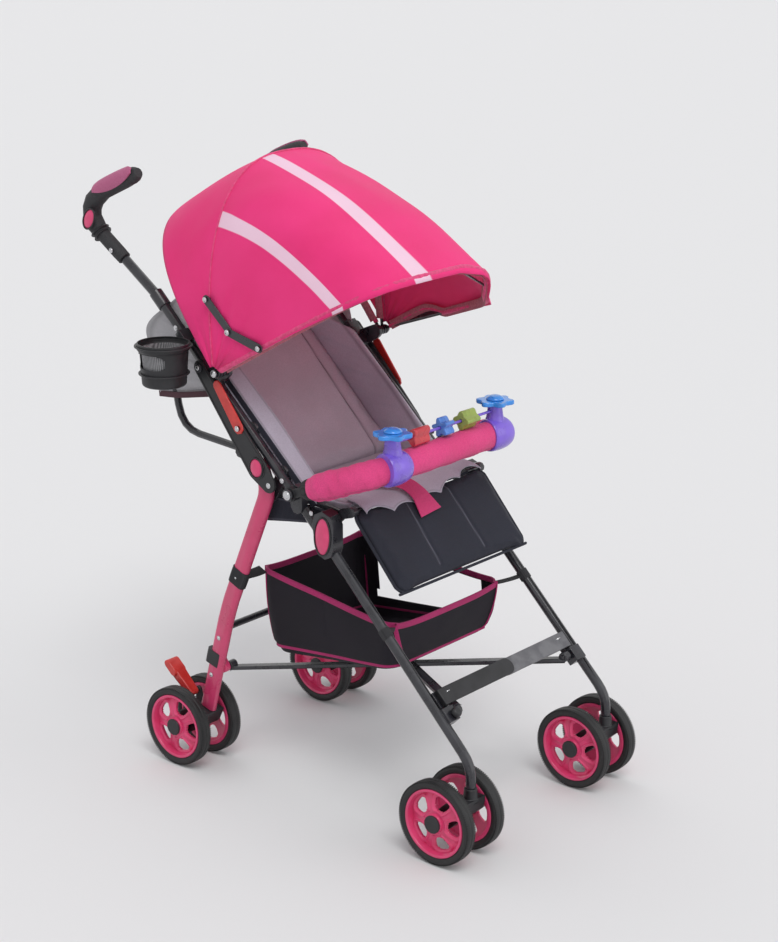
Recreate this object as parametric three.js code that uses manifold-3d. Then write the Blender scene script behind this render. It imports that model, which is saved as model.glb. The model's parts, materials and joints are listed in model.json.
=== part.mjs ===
// Child's umbrella stroller: two sloping main tubes, swing-down rear legs,
// twin wheels, a three-bow canopy, a padded seat, a basket and a toy bar.
// Millimetres, +Z up, the front faces -Y and the child's right hand is -X.
import * as THREE from "three";
import { mergeVertices } from "three/addons/utils/BufferGeometryUtils.js";
import Module from "manifold-3d";

const wasm = await Module();
wasm.setup();
const { Manifold, Mesh: SolidMesh } = wasm;

// ---------------------------------------------------------------- sizes
const GAP = 0.4;
// Moves the outline's centre onto the vertical axis.
const CENTRE_SHIFT = [30.35, -73.7];

const WHEEL_R = 75;
const RIM_R = 60.6;
const TYRE_W = 24;
const WHEEL_OFFSET = 39;
const AXLE_R = 6;
const AXLE_CLEARANCE = 0.4;
const AXLE_CAP_R = 16;
const FRONT_AXLE_Y = -307;
const REAR_AXLE_Y = 307;
const TRACK_X = 196;
const ROUND = 20;

const TUBE_R = 9;
const MAIN_X = TRACK_X - 4;
const KNEE_X = TRACK_X - 1;
const MAIN_Z0 = 521;
const MAIN_ANGLE = THREE.MathUtils.degToRad(43.1);
const BEND_S = -25;
const LOWER_ANGLE = THREE.MathUtils.degToRad(45.1);
const CASTER_Y = -347;
const CASTER_TOP_Z = 136;
const CLAMP_HALF = 12;
const TUBE_END = [441, 926];

const LINK_PIVOT_S = 347;
const LINK_IN_X = MAIN_X + CLAMP_HALF + 0.5;
const LINK_T = 5;
const LEG_PIVOT = [142, -23];
const LEG_T = 15;
const LEG_W = 34;
const LEG_PIN_R = 5;
const LEG_FOOT = [266, 110];
const LEVER_PIVOT = [214, -1];
const LEVER_TIP = [297, 15];
const LEVER_IN_X = LINK_IN_X + LINK_T + 1;
const LEVER_T = 4;
const LEVER_PIN_R = 4;
const PEDAL_PIVOT = [308, 129];
const PEDAL_PIN_R = 3.5;

const BRACE_D = 371;
const BRACE_N = 4;
const BRACE_REAR = [-55, -394];
const BRACE_EYE_R = 9;
const BRACE_PIN_R = 4;

const CANOPY_PIVOT = [197, 760];
const BOW_R = 3;
const BOW_STEP = 2 * BOW_R + 0.6;
const BOW_HALF = MAIN_X + 19;
const BOWS = {
  rear: { angle: 52.7, half: BOW_HALF, height: 326, power: 3 },
  mid: { angle: 84.8, half: BOW_HALF + BOW_STEP, height: 353, power: 2.55 },
  front: { angle: 150.8, half: BOW_HALF + 2 * BOW_STEP, height: 399, power: 5.5 },
};
const STAY_R = 130;
const STAY_SLACK = 2.2;
const STAY_HALF_ANGLE = THREE.MathUtils.degToRad(BOWS.front.angle - BOWS.mid.angle) / 2;
const STAY_LINK = STAY_R * Math.sin(STAY_HALF_ANGLE) + STAY_SLACK;

const RAIL_X = MAIN_X - 19;
const RAIL_R = 6;
const SEAT_HALF = RAIL_X - RAIL_R - 0.6;
const SEAT_Z = 553;
const BACK_HINGE = [105, SEAT_Z - 5];
const BACK_ANGLE = 44;
const BACK_LENGTH = 400;
const BACK_T = 26;
const RECLINE_PIVOT = [182, SEAT_Z + 60];
const RECLINE_X = MAIN_X - 24;
const RECLINE_R = 7;
const CALF_HINGE = [-70, SEAT_Z - 1];
const CALF_LENGTH = 166;
const CALF_ANGLE = 229;
const BAR_PIVOT = [33, 573];
const BAR_X = MAIN_X + 22;
const BAR_PAD_R = 24;

const BAR_PIN_R = 4.5;

const CANOPY_PIN_R = 4;
const CLOTH_CLEAR = 1;
const CLOTH_T = 2;
const CLOTH_FOOT = 12;
const CLOTH_BULGE = 0.35;
const STUD_R = 3;
const STAY_IN_X = BOWS.front.half + BOW_R + CLOTH_CLEAR + CLOTH_T + GAP;
const STAY_T = 2.5;

const BRACE_FRONT_X = MAIN_X - 36;
const BRACE_REAR_X = TRACK_X - 25;
const BRACE_W = 16;
const BRACE_T = 7;
const BRACE_LEVEL = 5;
const FRONT_BRACE_W = 30;
const BRACE_CLEAR = 4;
const SHELF_D = BRACE_D - BRACE_EYE_R - FRONT_BRACE_W / 2 - BRACE_CLEAR;
const SHELF_N = 6;
const SHELF_T = 4;
const FRONT_BRACE_T = 5;
const FRONT_BRACE_REACH = MAIN_X - TUBE_R - 2;

const HINGE_PIN_R = 4;
const EAR_OUT = MAIN_X - 27;
const EAR_T = 28;
const BACK_HALF = EAR_OUT - 11;
const CALF_HALF = EAR_OUT - 1;
const CALF_T = 22;
const SEAT_FRONT_Y = -54;
const SEAT_REAR_Y = 88;
const SEAT_T = 26;
const RECLINE_CROSS = [371, SEAT_Z + 220];
const RECLINE_PIN_R = 3.5;

const BASKET_HALF = 151;
const BASKET_Y = [-140, 180];
const BASKET_FLOOR = [272, 228];
const BASKET_RIM = [357, 389];
const BASKET_WALL = 3;

const CUP_R = 44;
const CUP_H = 76;
const CUP_LIP_R = CUP_R + 2.6;
const CUP_ARM_X = MAIN_X + 25;
const CUP_AT = [-(CUP_ARM_X + GAP + CUP_LIP_R), 284, 733];

const POST_X = BAR_X - 74;
const POST_Y = -130;
const POST_FOOT_Z = 634;
const POST_TOP_Z = 688;
const DISC_PIN_R = 3.5;
const ROD_Z = 677;
const ROD_R = 2.5;

const BLACK = 0x1b1c20;
const TUBE_BLACK = 0x23252b;
const PINK = 0xd8226b;
const DARK_PINK = 0xa11d4e;

// ---------------------------------------------------------------- helpers
const group = new THREE.Group();

// Point on the main tube's plane: s runs up the tube, n stands off its top side.
function onMain(s, n = 0) {
  const c = Math.cos(MAIN_ANGLE);
  const k = Math.sin(MAIN_ANGLE);
  return [s * c - n * k, MAIN_Z0 + s * k + n * c];
}

// Point on the tube's steeper lower run: d below the bend, n off its top side.
function onLower(d, n = 0) {
  const [y, z] = onMain(BEND_S);
  const c = Math.cos(LOWER_ANGLE);
  const k = Math.sin(LOWER_ANGLE);
  return [y - d * c - n * k, z - d * k + n * c];
}

function add(name, geometry, color, roughness, metalness = 0) {
  const material = new THREE.MeshStandardMaterial({ color, roughness, metalness });
  const shifted = geometry.clone().translate(...CENTRE_SHIFT, 0);
  const mesh = new THREE.Mesh(shifted, material);
  mesh.name = name;
  group.add(mesh);
}

function mirrored(geometry) {
  const copy = geometry.clone().scale(-1, 1, 1);
  const index = copy.index.array;
  for (let i = 0; i < index.length; i += 3) {
    [index[i], index[i + 1]] = [index[i + 1], index[i]];
  }
  return copy;
}

// Adds the piece built for the child's right (-X) and its mirror image.
function addPair(name, geometry, color, roughness, metalness = 0) {
  add(`${name}_right`, geometry, color, roughness, metalness);
  add(`${name}_left`, mirrored(geometry), color, roughness, metalness);
}

function welded(geometry) {
  const bare = geometry.clone();
  bare.deleteAttribute("normal");
  bare.deleteAttribute("uv");
  return mergeVertices(bare, 1e-3);
}

// Turns the faces round where a mapping has mirrored them.
function outward(geometry) {
  const p = geometry.attributes.position;
  const index = geometry.index.array;
  const [a, b, c] = [0, 1, 2].map(() => new THREE.Vector3());
  let volume = 0;
  for (let i = 0; i < index.length; i += 3) {
    a.fromBufferAttribute(p, index[i]);
    b.fromBufferAttribute(p, index[i + 1]);
    c.fromBufferAttribute(p, index[i + 2]);
    volume += a.dot(b.cross(c));
  }
  if (volume < 0) {
    for (let i = 0; i < index.length; i += 3) {
      [index[i], index[i + 1]] = [index[i + 1], index[i]];
    }
  }
  return geometry;
}

function solid(geometry) {
  const g = welded(geometry);
  return new Manifold(new SolidMesh({
    numProp: 3,
    vertProperties: Float32Array.from(g.attributes.position.array),
    triVerts: Uint32Array.from(g.index.array),
  }));
}

function geometryOf(manifold) {
  const mesh = manifold.getMesh();
  const g = new THREE.BufferGeometry();
  const corners = Float32Array.from(mesh.vertProperties);
  g.setAttribute("position", new THREE.BufferAttribute(corners, 3));
  g.setIndex(new THREE.BufferAttribute(Uint32Array.from(mesh.triVerts), 1));
  return g;
}

function fuse(...geometries) {
  return geometryOf(geometries.map(solid).reduce((a, b) => a.add(b)));
}

function cut(geometry, ...tools) {
  return geometryOf(tools.map(solid).reduce((a, b) => a.subtract(b), solid(geometry)));
}

// A path given by its own sample points, for ExtrudeGeometry's extrudePath.
class PointPath extends THREE.Curve {
  constructor(points) {
    super();
    this.points = points;
  }
  getPoint(t, target = new THREE.Vector3()) {
    const k = Math.min(t * (this.points.length - 1), this.points.length - 1 - 1e-9);
    const i = Math.floor(k);
    return target.copy(this.points[i]).lerp(this.points[i + 1], k - i);
  }
  getPointAt(u, target) {
    return this.getPoint(u, target);
  }
  getTangentAt(u, target = new THREE.Vector3()) {
    const i = Math.round(u * (this.points.length - 1));
    const a = this.points[Math.max(i - 1, 0)];
    const b = this.points[Math.min(i + 1, this.points.length - 1)];
    return target.copy(b).sub(a).normalize();
  }
}

// Corner points [x, y, z, radius] turned into a path with rounded bends.
function rounded(corners, steps = 5) {
  const v = corners.map(([x, y, z]) => new THREE.Vector3(x, y, z));
  const points = [v[0]];
  for (let i = 1; i < v.length - 1; i += 1) {
    const r = corners[i][3] ?? 0;
    const a = v[i].clone().add(v[i - 1].clone().sub(v[i]).setLength(r));
    const b = v[i].clone().add(v[i + 1].clone().sub(v[i]).setLength(r));
    const arc = new THREE.QuadraticBezierCurve3(a, v[i], b);
    points.push(...arc.getPoints(steps));
  }
  points.push(v[v.length - 1]);
  return new PointPath(points);
}

function sweep(path, shape, curveSegments = 3) {
  return new THREE.ExtrudeGeometry(shape, {
    steps: path.points.length - 1,
    extrudePath: path,
    bevelEnabled: false,
    curveSegments,
  });
}

function circle(r, x = 0, y = 0, from = 0) {
  return new THREE.Shape().absarc(x, y, r, from, from + Math.PI * 2, false);
}

function pipe(corners, r, steps = 5, sides = 5) {
  return sweep(rounded(corners, steps), circle(r), sides);
}

function slotShape(length, width) {
  const r = width / 2;
  const h = length / 2 - r;
  const shape = new THREE.Shape();
  shape.absarc(0, h, r, 0, Math.PI, false);
  shape.absarc(0, -h, r, Math.PI, Math.PI * 2, false);
  return shape;
}

function outline(points) {
  return new THREE.Shape(points.map(([a, b]) => new THREE.Vector2(a, b)));
}

// Hull-like plate outline around a chain of discs [a, b, radius].
function linked(a, b, sides = 4) {
  const heading = Math.atan2(b[1] - a[1], b[0] - a[0]);
  const lean = Math.asin((a[2] - b[2]) / Math.hypot(b[0] - a[0], b[1] - a[1]));
  const points = [];
  for (let i = 0; i <= sides; i += 1) {
    const t = heading + Math.PI / 2 - lean + (i / sides) * (Math.PI + 2 * lean);
    points.push([a[0] + a[2] * Math.cos(t), a[1] + a[2] * Math.sin(t)]);
  }
  for (let i = 0; i <= sides; i += 1) {
    const t = heading - Math.PI / 2 + lean + (i / sides) * (Math.PI - 2 * lean);
    points.push([b[0] + b[2] * Math.cos(t), b[1] + b[2] * Math.sin(t)]);
  }
  return outline(points);
}

// A plate drawn in (y, z) that runs from x0 towards +X over a thickness.
function sidePlate(shape, x0, thickness, curveSegments = 5) {
  const settings = { depth: thickness, bevelEnabled: false, curveSegments };
  const g = new THREE.ExtrudeGeometry(shape, settings);
  const basis = new THREE.Matrix4().makeBasis(
    new THREE.Vector3(0, 1, 0),
    new THREE.Vector3(0, 0, 1),
    new THREE.Vector3(1, 0, 0),
  );
  return g.applyMatrix4(basis).translate(x0, 0, 0);
}

function crossPin(x0, x1, [y, z], r, sides = 12) {
  const g = new THREE.CylinderGeometry(r, r, Math.abs(x1 - x0), sides);
  return g.rotateZ(Math.PI / 2).translate((x0 + x1) / 2, y, z);
}

function rodBetween(a, b, r, sides = 12) {
  const from = new THREE.Vector3(...a);
  const to = new THREE.Vector3(...b);
  const g = new THREE.CylinderGeometry(r, r, from.distanceTo(to), sides);
  const turn = new THREE.Quaternion().setFromUnitVectors(
    new THREE.Vector3(0, 1, 0),
    to.clone().sub(from).normalize(),
  );
  return g.applyQuaternion(turn).translate(...from.add(to).multiplyScalar(0.5).toArray());
}

// A tool that bores a hole right across the stroller.
function boreAt(at, r, sides = 12) {
  return crossPin(-400, 400, at, r, sides);
}

// A block with its long side laid along a run of the main tube.
function blockAlong(run, x0, x1, s0, s1, n0, n1) {
  const corners = [[s0, n0], [s1, n0], [s1, n1], [s0, n1]];
  const shape = outline(corners.map(([s, n]) => run(s, n)));
  return sidePlate(shape, x0, x1 - x0);
}

// A box of nx by ny by nz faces whose unit coordinates (-1..1) are mapped to place.
function shaped(nx, ny, nz, place) {
  const g = welded(new THREE.BoxGeometry(2, 2, 2, nx, ny, nz));
  const p = g.attributes.position;
  const q = new THREE.Vector3();
  for (let i = 0; i < p.count; i += 1) {
    q.fromBufferAttribute(p, i);
    p.setXYZ(i, ...place(q.x, q.y, q.z));
  }
  return outward(g);
}

// A lathe profile [radius, position 0..1] bent along a path.
function bentRound(profile, path, sides) {
  const points = profile.map(([r, t]) => new THREE.Vector2(r, t));
  const g = welded(new THREE.LatheGeometry(points, sides));
  const frames = path.computeFrenetFrames(path.points.length - 1, false);
  const p = g.attributes.position;
  const q = new THREE.Vector3();
  for (let i = 0; i < p.count; i += 1) {
    const t = THREE.MathUtils.clamp(p.getY(i), 0, 1);
    const k = Math.round(t * (path.points.length - 1));
    q.copy(path.getPoint(t));
    q.addScaledVector(frames.normals[k], p.getX(i));
    q.addScaledVector(frames.binormals[k], -p.getZ(i));
    p.setXYZ(i, q.x, q.y, q.z);
  }
  return g;
}

// A padded board: rounded rim, middle fuller than its edges.
function cushion(width, length, thick, place) {
  return shaped(6, 6, 2, (u, v, w) => {
    const edge = Math.max(Math.abs(u), Math.abs(v));
    const swell = 0.62 + 0.38 * Math.sqrt(Math.max(0, 1 - edge ** 6));
    const corner = 1 - 0.035 * (u * u * v * v);
    return place((u * corner * width) / 2, (v * corner * length) / 2, (w * swell * thick) / 2);
  });
}

// ---------------------------------------------------------------- wheels
function wheelRim() {
  const half = TYRE_W / 2 - 1.5;
  const bore = AXLE_R + AXLE_CLEARANCE;
  const profile = [
    [bore, -half], [17, -half], [17, -2.5], [50, -5], [56, -half], [RIM_R, -half],
    [RIM_R, half], [52, 1], [17, 5], [17, half], [bore, half], [bore, -half],
  ];
  const points = profile.map(([r, x]) => new THREE.Vector2(r, x));
  const body = new THREE.LatheGeometry(points, ROUND);
  const windows = [];
  for (let i = 0; i < 5; i += 1) {
    const window = new THREE.Shape();
    const from = (i * Math.PI * 2) / 5 + 0.2;
    const to = from + (Math.PI * 2) / 5 - 0.4;
    window.absarc(0, 0, 45, from, to, false);
    window.absarc(0, 0, 27, to - 0.1, from + 0.1, true);
    const settings = { depth: 30, bevelEnabled: false, curveSegments: 2 };
    const tool = new THREE.ExtrudeGeometry(window, settings);
    windows.push(tool.rotateX(Math.PI / 2).translate(0, 15, 0));
  }
  return cut(body, ...windows).rotateZ(-Math.PI / 2);
}

function wheelTyre() {
  const half = TYRE_W / 2;
  const inner = RIM_R + GAP;
  const profile = [
    [inner, -half + 2], [67, -half], [WHEEL_R - 2, -half + 2.5], [WHEEL_R, -half + 8],
    [WHEEL_R, half - 8], [WHEEL_R - 2, half - 2.5], [67, half], [inner, half - 2],
    [inner, -half + 2],
  ];
  const points = profile.map(([r, x]) => new THREE.Vector2(r, x));
  return welded(new THREE.LatheGeometry(points, ROUND)).rotateZ(-Math.PI / 2);
}

const rim = wheelRim();
const tyre = wheelTyre();
const CORNERS = [
  ["front_right", -TRACK_X, FRONT_AXLE_Y],
  ["front_left", TRACK_X, FRONT_AXLE_Y],
  ["rear_right", -TRACK_X, REAR_AXLE_Y],
  ["rear_left", TRACK_X, REAR_AXLE_Y],
];
for (const [corner, x, y] of CORNERS) {
  for (const [place, side] of [["outer", 1], ["inner", -1]]) {
    const at = x + Math.sign(x) * side * WHEEL_OFFSET;
    const facing = Math.sign(x) * side > 0 ? 0 : Math.PI;
    const placed = (g) => g.clone().rotateZ(facing).translate(at, y, WHEEL_R);
    add(`tyre_${corner}_${place}`, placed(tyre), BLACK, 0.85);
    add(`rim_${corner}_${place}`, placed(rim), PINK, 0.4);
  }
}

// Axle with a cap outside each wheel; the caps and the hub block keep the wheels on.
function axle(y) {
  const reach = WHEEL_OFFSET + TYRE_W / 2 - 1.5 + GAP;
  return [
    crossPin(-TRACK_X - reach - 3, -TRACK_X + reach + 3, [y, WHEEL_R], AXLE_R, 14),
    crossPin(-TRACK_X - reach - 4, -TRACK_X - reach, [y, WHEEL_R], AXLE_CAP_R, 14),
    crossPin(-TRACK_X + reach, -TRACK_X + reach + 4, [y, WHEEL_R], AXLE_CAP_R, 14),
  ];
}

const BLOCK_HALF = WHEEL_OFFSET - TYRE_W / 2 - 3;
const casterSide = outline([
  [CASTER_Y - 13, 118], [CASTER_Y - 11, 96], [-318, 58], [-300, 56], [-290, 68],
  [-291, 84], [-312, 104], [CASTER_Y + 14, 118],
]);
const casterBlock = sidePlate(casterSide, -TRACK_X - BLOCK_HALF, 2 * BLOCK_HALF);
const casterStem = new THREE.CylinderGeometry(11, 13, CASTER_TOP_Z - GAP - 112, 16)
  .rotateX(Math.PI / 2)
  .translate(-TRACK_X, CASTER_Y, (CASTER_TOP_Z - GAP + 112) / 2);
addPair("caster", fuse(casterBlock, casterStem, ...axle(FRONT_AXLE_Y)), BLACK, 0.5);

// ---------------------------------------------------------------- main frame sides
const collar = onMain(503);
const kneeZ = onLower((onMain(BEND_S)[0] - CASTER_Y) / Math.cos(LOWER_ANGLE))[1];
const mainTube = pipe([
  [-TRACK_X, CASTER_Y, CASTER_TOP_Z],
  [-KNEE_X, CASTER_Y, kneeZ, 26],
  [-MAIN_X, ...onMain(BEND_S), 30],
  [-MAIN_X, ...collar, 22],
  [-MAIN_X - 10, ...TUBE_END],
], TUBE_R, 4, 5);
const foldCollar = rodBetween(
  [-MAIN_X, ...onMain(482)],
  [-MAIN_X, ...onMain(514)],
  12.5, 12,
);

// Clamp that carries the canopy pivot on its ear and the side link on its outer face.
const clampX = [-MAIN_X - CLAMP_HALF, -MAIN_X + CLAMP_HALF];
const clampBlock = blockAlong(onMain, ...clampX, 302, 360, -13, 13);
const clampEar = sidePlate(
  linked([...CANOPY_PIVOT, 13], [...onMain(322), 16]),
  clampX[0], 8,
);
const linkPin = crossPin(
  -LINK_IN_X - LINK_T - 3, -MAIN_X - 8, onMain(LINK_PIVOT_S), LEG_PIN_R,
);
const linkPinHead = crossPin(
  -LINK_IN_X - LINK_T - 4, -LINK_IN_X - LINK_T - GAP, onMain(LINK_PIVOT_S), 8,
);
const bowFace = -BOWS.front.half - BOW_R - GAP;
const canopyPin = crossPin(bowFace - 1, -MAIN_X - 8, CANOPY_PIVOT, CANOPY_PIN_R);
const canopyPinHead = crossPin(bowFace - 3, bowFace, CANOPY_PIVOT, 7);

const seatHousing = sidePlate(
  linked([-31, 529, 24], [-34, 489, 21]),
  -MAIN_X - 15, 26,
);
const seatRail = pipe([
  [-MAIN_X + 6, ...onMain(48)], [-RAIL_X, 32, SEAT_Z - 1, 6], [-RAIL_X, -60, SEAT_Z - 8],
], RAIL_R, 3, 4);
const seatStrut = rodBetween([-MAIN_X + 8, ...onMain(-24)], [-RAIL_X, -52, SEAT_Z - 10], 5);
const barSocket = sidePlate(linked([...BAR_PIVOT, 15], [...onMain(40), 13]), -MAIN_X - 14, 15);
const barPin = crossPin(-BAR_X - 9, -MAIN_X - 8, BAR_PIVOT, BAR_PIN_R);
const barPinHead = crossPin(-BAR_X - 11.5, -BAR_X - 8, BAR_PIVOT, 11);
const reclineLug = sidePlate(
  linked([...RECLINE_PIVOT, 11], [...onMain(206), 12]),
  -MAIN_X + 6, 11,
);
const reclinePin = crossPin(-RECLINE_X + 5, -MAIN_X + 12, RECLINE_PIVOT, RECLINE_PIN_R);
const calfPin = crossPin(-EAR_OUT + EAR_T, -RAIL_X + 1, CALF_HINGE, HINGE_PIN_R);
const calfLug = sidePlate(linked([...CALF_HINGE, 9], [-50, SEAT_Z - 7, 9]), -RAIL_X - 6, 12);
const backPin = crossPin(-EAR_OUT + EAR_T, -MAIN_X + 12, BACK_HINGE, HINGE_PIN_R);
const backLug = sidePlate(linked([...BACK_HINGE, 10], [...onMain(110), 12]), -MAIN_X + 6, 18);
const braceFront = onLower(BRACE_D, BRACE_N);
const bracePin = crossPin(-MAIN_X + 2, -BRACE_FRONT_X + 8, braceFront, BRACE_PIN_R);
const lugX = [-MAIN_X - 2, -MAIN_X + 24];
const shelfD = [SHELF_D - FRONT_BRACE_W / 2, SHELF_D + FRONT_BRACE_W / 2];
const braceLug = blockAlong(onLower, ...lugX, shelfD[1] + 3, BRACE_D + 17, 15, -8);
const shelfPlate = blockAlong(
  onLower, -MAIN_X + 6, -MAIN_X + 33, ...shelfD, SHELF_N, SHELF_N - SHELF_T,
);
const shelfWeb = blockAlong(
  onLower, -MAIN_X + 5, -MAIN_X + 24, shelfD[0] + 6, shelfD[1] + 4, SHELF_N - 2, -8,
);
const cupArm = blockAlong(onMain, -CUP_ARM_X, -MAIN_X + 6, 396, 420, 4, 18);

const frameSide = fuse(
  mainTube, foldCollar, clampBlock, clampEar, linkPin, linkPinHead,
  canopyPin, canopyPinHead, seatHousing, seatRail, seatStrut, barSocket, barPin,
  barPinHead, reclineLug, reclinePin, calfPin, calfLug, backPin, backLug, braceLug,
  bracePin, shelfPlate, shelfWeb,
);
add("main_frame_right", fuse(frameSide, cupArm), TUBE_BLACK, 0.4, 0.4);
add("main_frame_left", mirrored(frameSide), TUBE_BLACK, 0.4, 0.4);

// Hooked hand grip on each main tube's upper end.
const GRIP_STEPS = 16;
const gripCurve = new THREE.CatmullRomCurve3([
  [10.1, TUBE_END[0] + 0.5, TUBE_END[1] + 0.4], [14, 472, 951], [17, 498, 973],
  [19, 513, 997], [20, 507, 1021], [21, 484, 1043], [21, 440, 1064], [21, 386, 1086],
].map(([out, y, z]) => new THREE.Vector3(-MAIN_X - out, y, z)), false, "centripetal");
const gripPath = new PointPath(gripCurve.getSpacedPoints(GRIP_STEPS));
const gripProfile = [
  [0, 0], [12.5, 0], [13, 1], [13, 3.5], [15, 4.2], [17, 5], [17.3, 6], [17.3, 7],
  [17.3, 8], [17, 10], [17, 12], [16.5, 14], [14, 15.4], [9, 16], [0, 16],
].map(([r, k]) => [r, k / GRIP_STEPS]);
addPair("grip", bentRound(gripProfile, gripPath, 12), PINK, 0.55);

// ---------------------------------------------------------------- folding side
const [legY, legZ] = onMain(...LEG_PIVOT);
const linkTop = onMain(LINK_PIVOT_S);
const linkArm = sidePlate(
  linked([...linkTop, 13], [legY, legZ, 23]),
  -LINK_IN_X - LINK_T, LINK_T,
);
const linkFoot = sidePlate(
  linked([legY, legZ, 23], [...onMain(94, -44), 16]),
  -LINK_IN_X - LINK_T, LINK_T,
);
const linkBore = boreAt(linkTop, LEG_PIN_R + GAP);
const legPin = crossPin(-LINK_IN_X - 1, -TRACK_X + 6, [legY, legZ], LEG_PIN_R);
const leverAt = onMain(...LEVER_PIVOT);
const leverPin = crossPin(-LEVER_IN_X - LEVER_T - 2.5, -LINK_IN_X - 1, leverAt, LEVER_PIN_R);
addPair(
  "side_link",
  fuse(cut(fuse(linkArm, linkFoot), linkBore), legPin, leverPin),
  BLACK, 0.5,
);

// Lock lever on the link: its hook end sits over the main tube's clamp.
const leverArm = sidePlate(
  linked([...leverAt, 11], [...onMain(...LEVER_TIP), 9]),
  -LEVER_IN_X - LEVER_T, LEVER_T,
);
const leverBore = boreAt(leverAt, LEVER_PIN_R + GAP);
addPair("fold_lever", cut(leverArm, leverBore), 0xd23a1c, 0.45);

const legPath = rounded([
  [-TRACK_X, legY, legZ],
  [-TRACK_X, 104, 560, 24],
  [-TRACK_X, 209, 317, 50],
  [-TRACK_X, ...LEG_FOOT],
], 4);
const legBore = boreAt([legY, legZ], LEG_PIN_R + GAP);
const braceRear = onMain(...BRACE_REAR);
const legTube = sweep(legPath, slotShape(LEG_W, LEG_T), 2);
const legHead = crossPin(-TRACK_X - LEG_T / 2, -TRACK_X + LEG_T / 2, [legY, legZ], 13);
const legLug = sidePlate(linked([...braceRear, 9], [238, 206, 10]), -TRACK_X + 3, 12);
addPair("rear_leg", cut(fuse(legTube, legHead, legLug), legBore), DARK_PINK, 0.4);

// Hub block: its sloping top takes the leg's end, GAP below it.
const legAlong = new THREE.Vector2(LEG_FOOT[0] - 209, LEG_FOOT[1] - 317).normalize();
function underFoot(across) {
  return [
    LEG_FOOT[0] + legAlong.x * GAP - legAlong.y * across,
    LEG_FOOT[1] + legAlong.y * GAP + legAlong.x * across,
  ];
}
const rearHubSide = outline([
  underFoot(-18), underFoot(18), [318, 96], [325, 76], [318, 60], [298, 56], [262, 78],
]);
const rearHub = sidePlate(rearHubSide, -TRACK_X - BLOCK_HALF, 2 * BLOCK_HALF);
const pedalPin = crossPin(-TRACK_X - 20, -TRACK_X + 20, PEDAL_PIVOT, PEDAL_PIN_R);
const pedalLugs = [-20, 14].map((x) => (
  sidePlate(linked([...PEDAL_PIVOT, 7], [304, 96, 10]), -TRACK_X + x, 6)
));
addPair("rear_hub", fuse(rearHub, pedalPin, ...pedalLugs, ...axle(REAR_AXLE_Y)), BLACK, 0.5);

const pedalBoss = sidePlate(linked([...PEDAL_PIVOT, 7.5], [352, 168, 7]), -TRACK_X - 10, 20);
const pedalPad = sidePlate(linked([344, 161, 7.4], [360, 175, 7]), -TRACK_X - 14, 28);
const pedalBore = boreAt(PEDAL_PIVOT, PEDAL_PIN_R + GAP);
addPair("brake_pedal", cut(fuse(pedalBoss, pedalPad), pedalBore), 0xd8301c, 0.4);

const rearBarEnd = TRACK_X - LEG_T / 2 - GAP;
const rearBar = rodBetween([-rearBarEnd, 236, 268], [rearBarEnd, 236, 268], 6.5);
add("rear_crossbar", rearBar, TUBE_BLACK, 0.4, 0.4);

// The two diagonal bars cross between the front lugs and the rear legs.
const braceRun = new THREE.Vector3(0, braceRear[0] - braceFront[0], braceRear[1] - braceFront[1]);
const braceUp = new THREE.Vector3(0, -braceRun.z, braceRun.y).normalize();

function braceBar(side, level) {
  const front = new THREE.Vector3(side * BRACE_FRONT_X, ...braceFront);
  const rear = new THREE.Vector3(-side * BRACE_REAR_X, ...braceRear);
  const across = braceUp.clone().cross(rear.clone().sub(front)).normalize();
  const bar = shaped(1, 1, 1, (u, v, w) => {
    const at = front.clone().lerp(rear, (u + 1) / 2);
    at.addScaledVector(across, v * BRACE_W / 2);
    at.addScaledVector(braceUp, level + w * BRACE_T / 2);
    return at.toArray();
  });
  const eye = (x, reach, at) => crossPin(x - reach, x + reach, at, BRACE_EYE_R);
  const frontEye = eye(side * BRACE_FRONT_X, 7, braceFront);
  const rearEye = eye(-side * BRACE_REAR_X, 8, braceRear);
  const [near, far] = [BRACE_FRONT_X - 20, BRACE_FRONT_X + 20];
  const bore = crossPin(side * near, side * far, braceFront, BRACE_PIN_R + GAP);
  return [bar, frontEye, rearEye, bore];
}

const [barA, frontEyeA, rearEyeA, boreA] = braceBar(-1, BRACE_LEVEL);
const [barB, frontEyeB, rearEyeB, boreB] = braceBar(1, -BRACE_LEVEL);
const crossAt = BRACE_FRONT_X / (BRACE_FRONT_X + BRACE_REAR_X);
const crossing = new THREE.Vector3(0, ...braceFront).addScaledVector(braceRun, crossAt);
const crossRivet = rodBetween(
  crossing.clone().addScaledVector(braceUp, BRACE_T / 2 - BRACE_LEVEL + GAP).toArray(),
  crossing.clone().addScaledVector(braceUp, BRACE_LEVEL).toArray(),
  6,
);
add("cross_brace_a", cut(fuse(barA, frontEyeA, rearEyeA, crossRivet), boreA), TUBE_BLACK, 0.4, 0.4);
add("cross_brace_b", cut(fuse(barB, frontEyeB, rearEyeB), boreB), TUBE_BLACK, 0.4, 0.4);

// Two-piece front brace, lapped at its knee, laid on the lugs' sloping shelves.
function frontBraceHalf(side, level) {
  const reach = FRONT_BRACE_REACH;
  const rise = level + FRONT_BRACE_T / 2;
  const strip = new THREE.BoxGeometry(reach, FRONT_BRACE_W, FRONT_BRACE_T)
    .translate((side * reach) / 2, 0, rise);
  const eye = new THREE.CylinderGeometry(FRONT_BRACE_W / 2, FRONT_BRACE_W / 2, FRONT_BRACE_T, 20)
    .rotateX(Math.PI / 2)
    .translate(0, 0, rise);
  const foot = new THREE.BoxGeometry(22, FRONT_BRACE_W, FRONT_BRACE_T + level)
    .translate(side * (reach - 11), 0, (FRONT_BRACE_T + level) / 2);
  return fuse(strip, eye, foot)
    .rotateX(LOWER_ANGLE)
    .translate(0, ...onLower(SHELF_D, SHELF_N + GAP));
}

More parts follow.
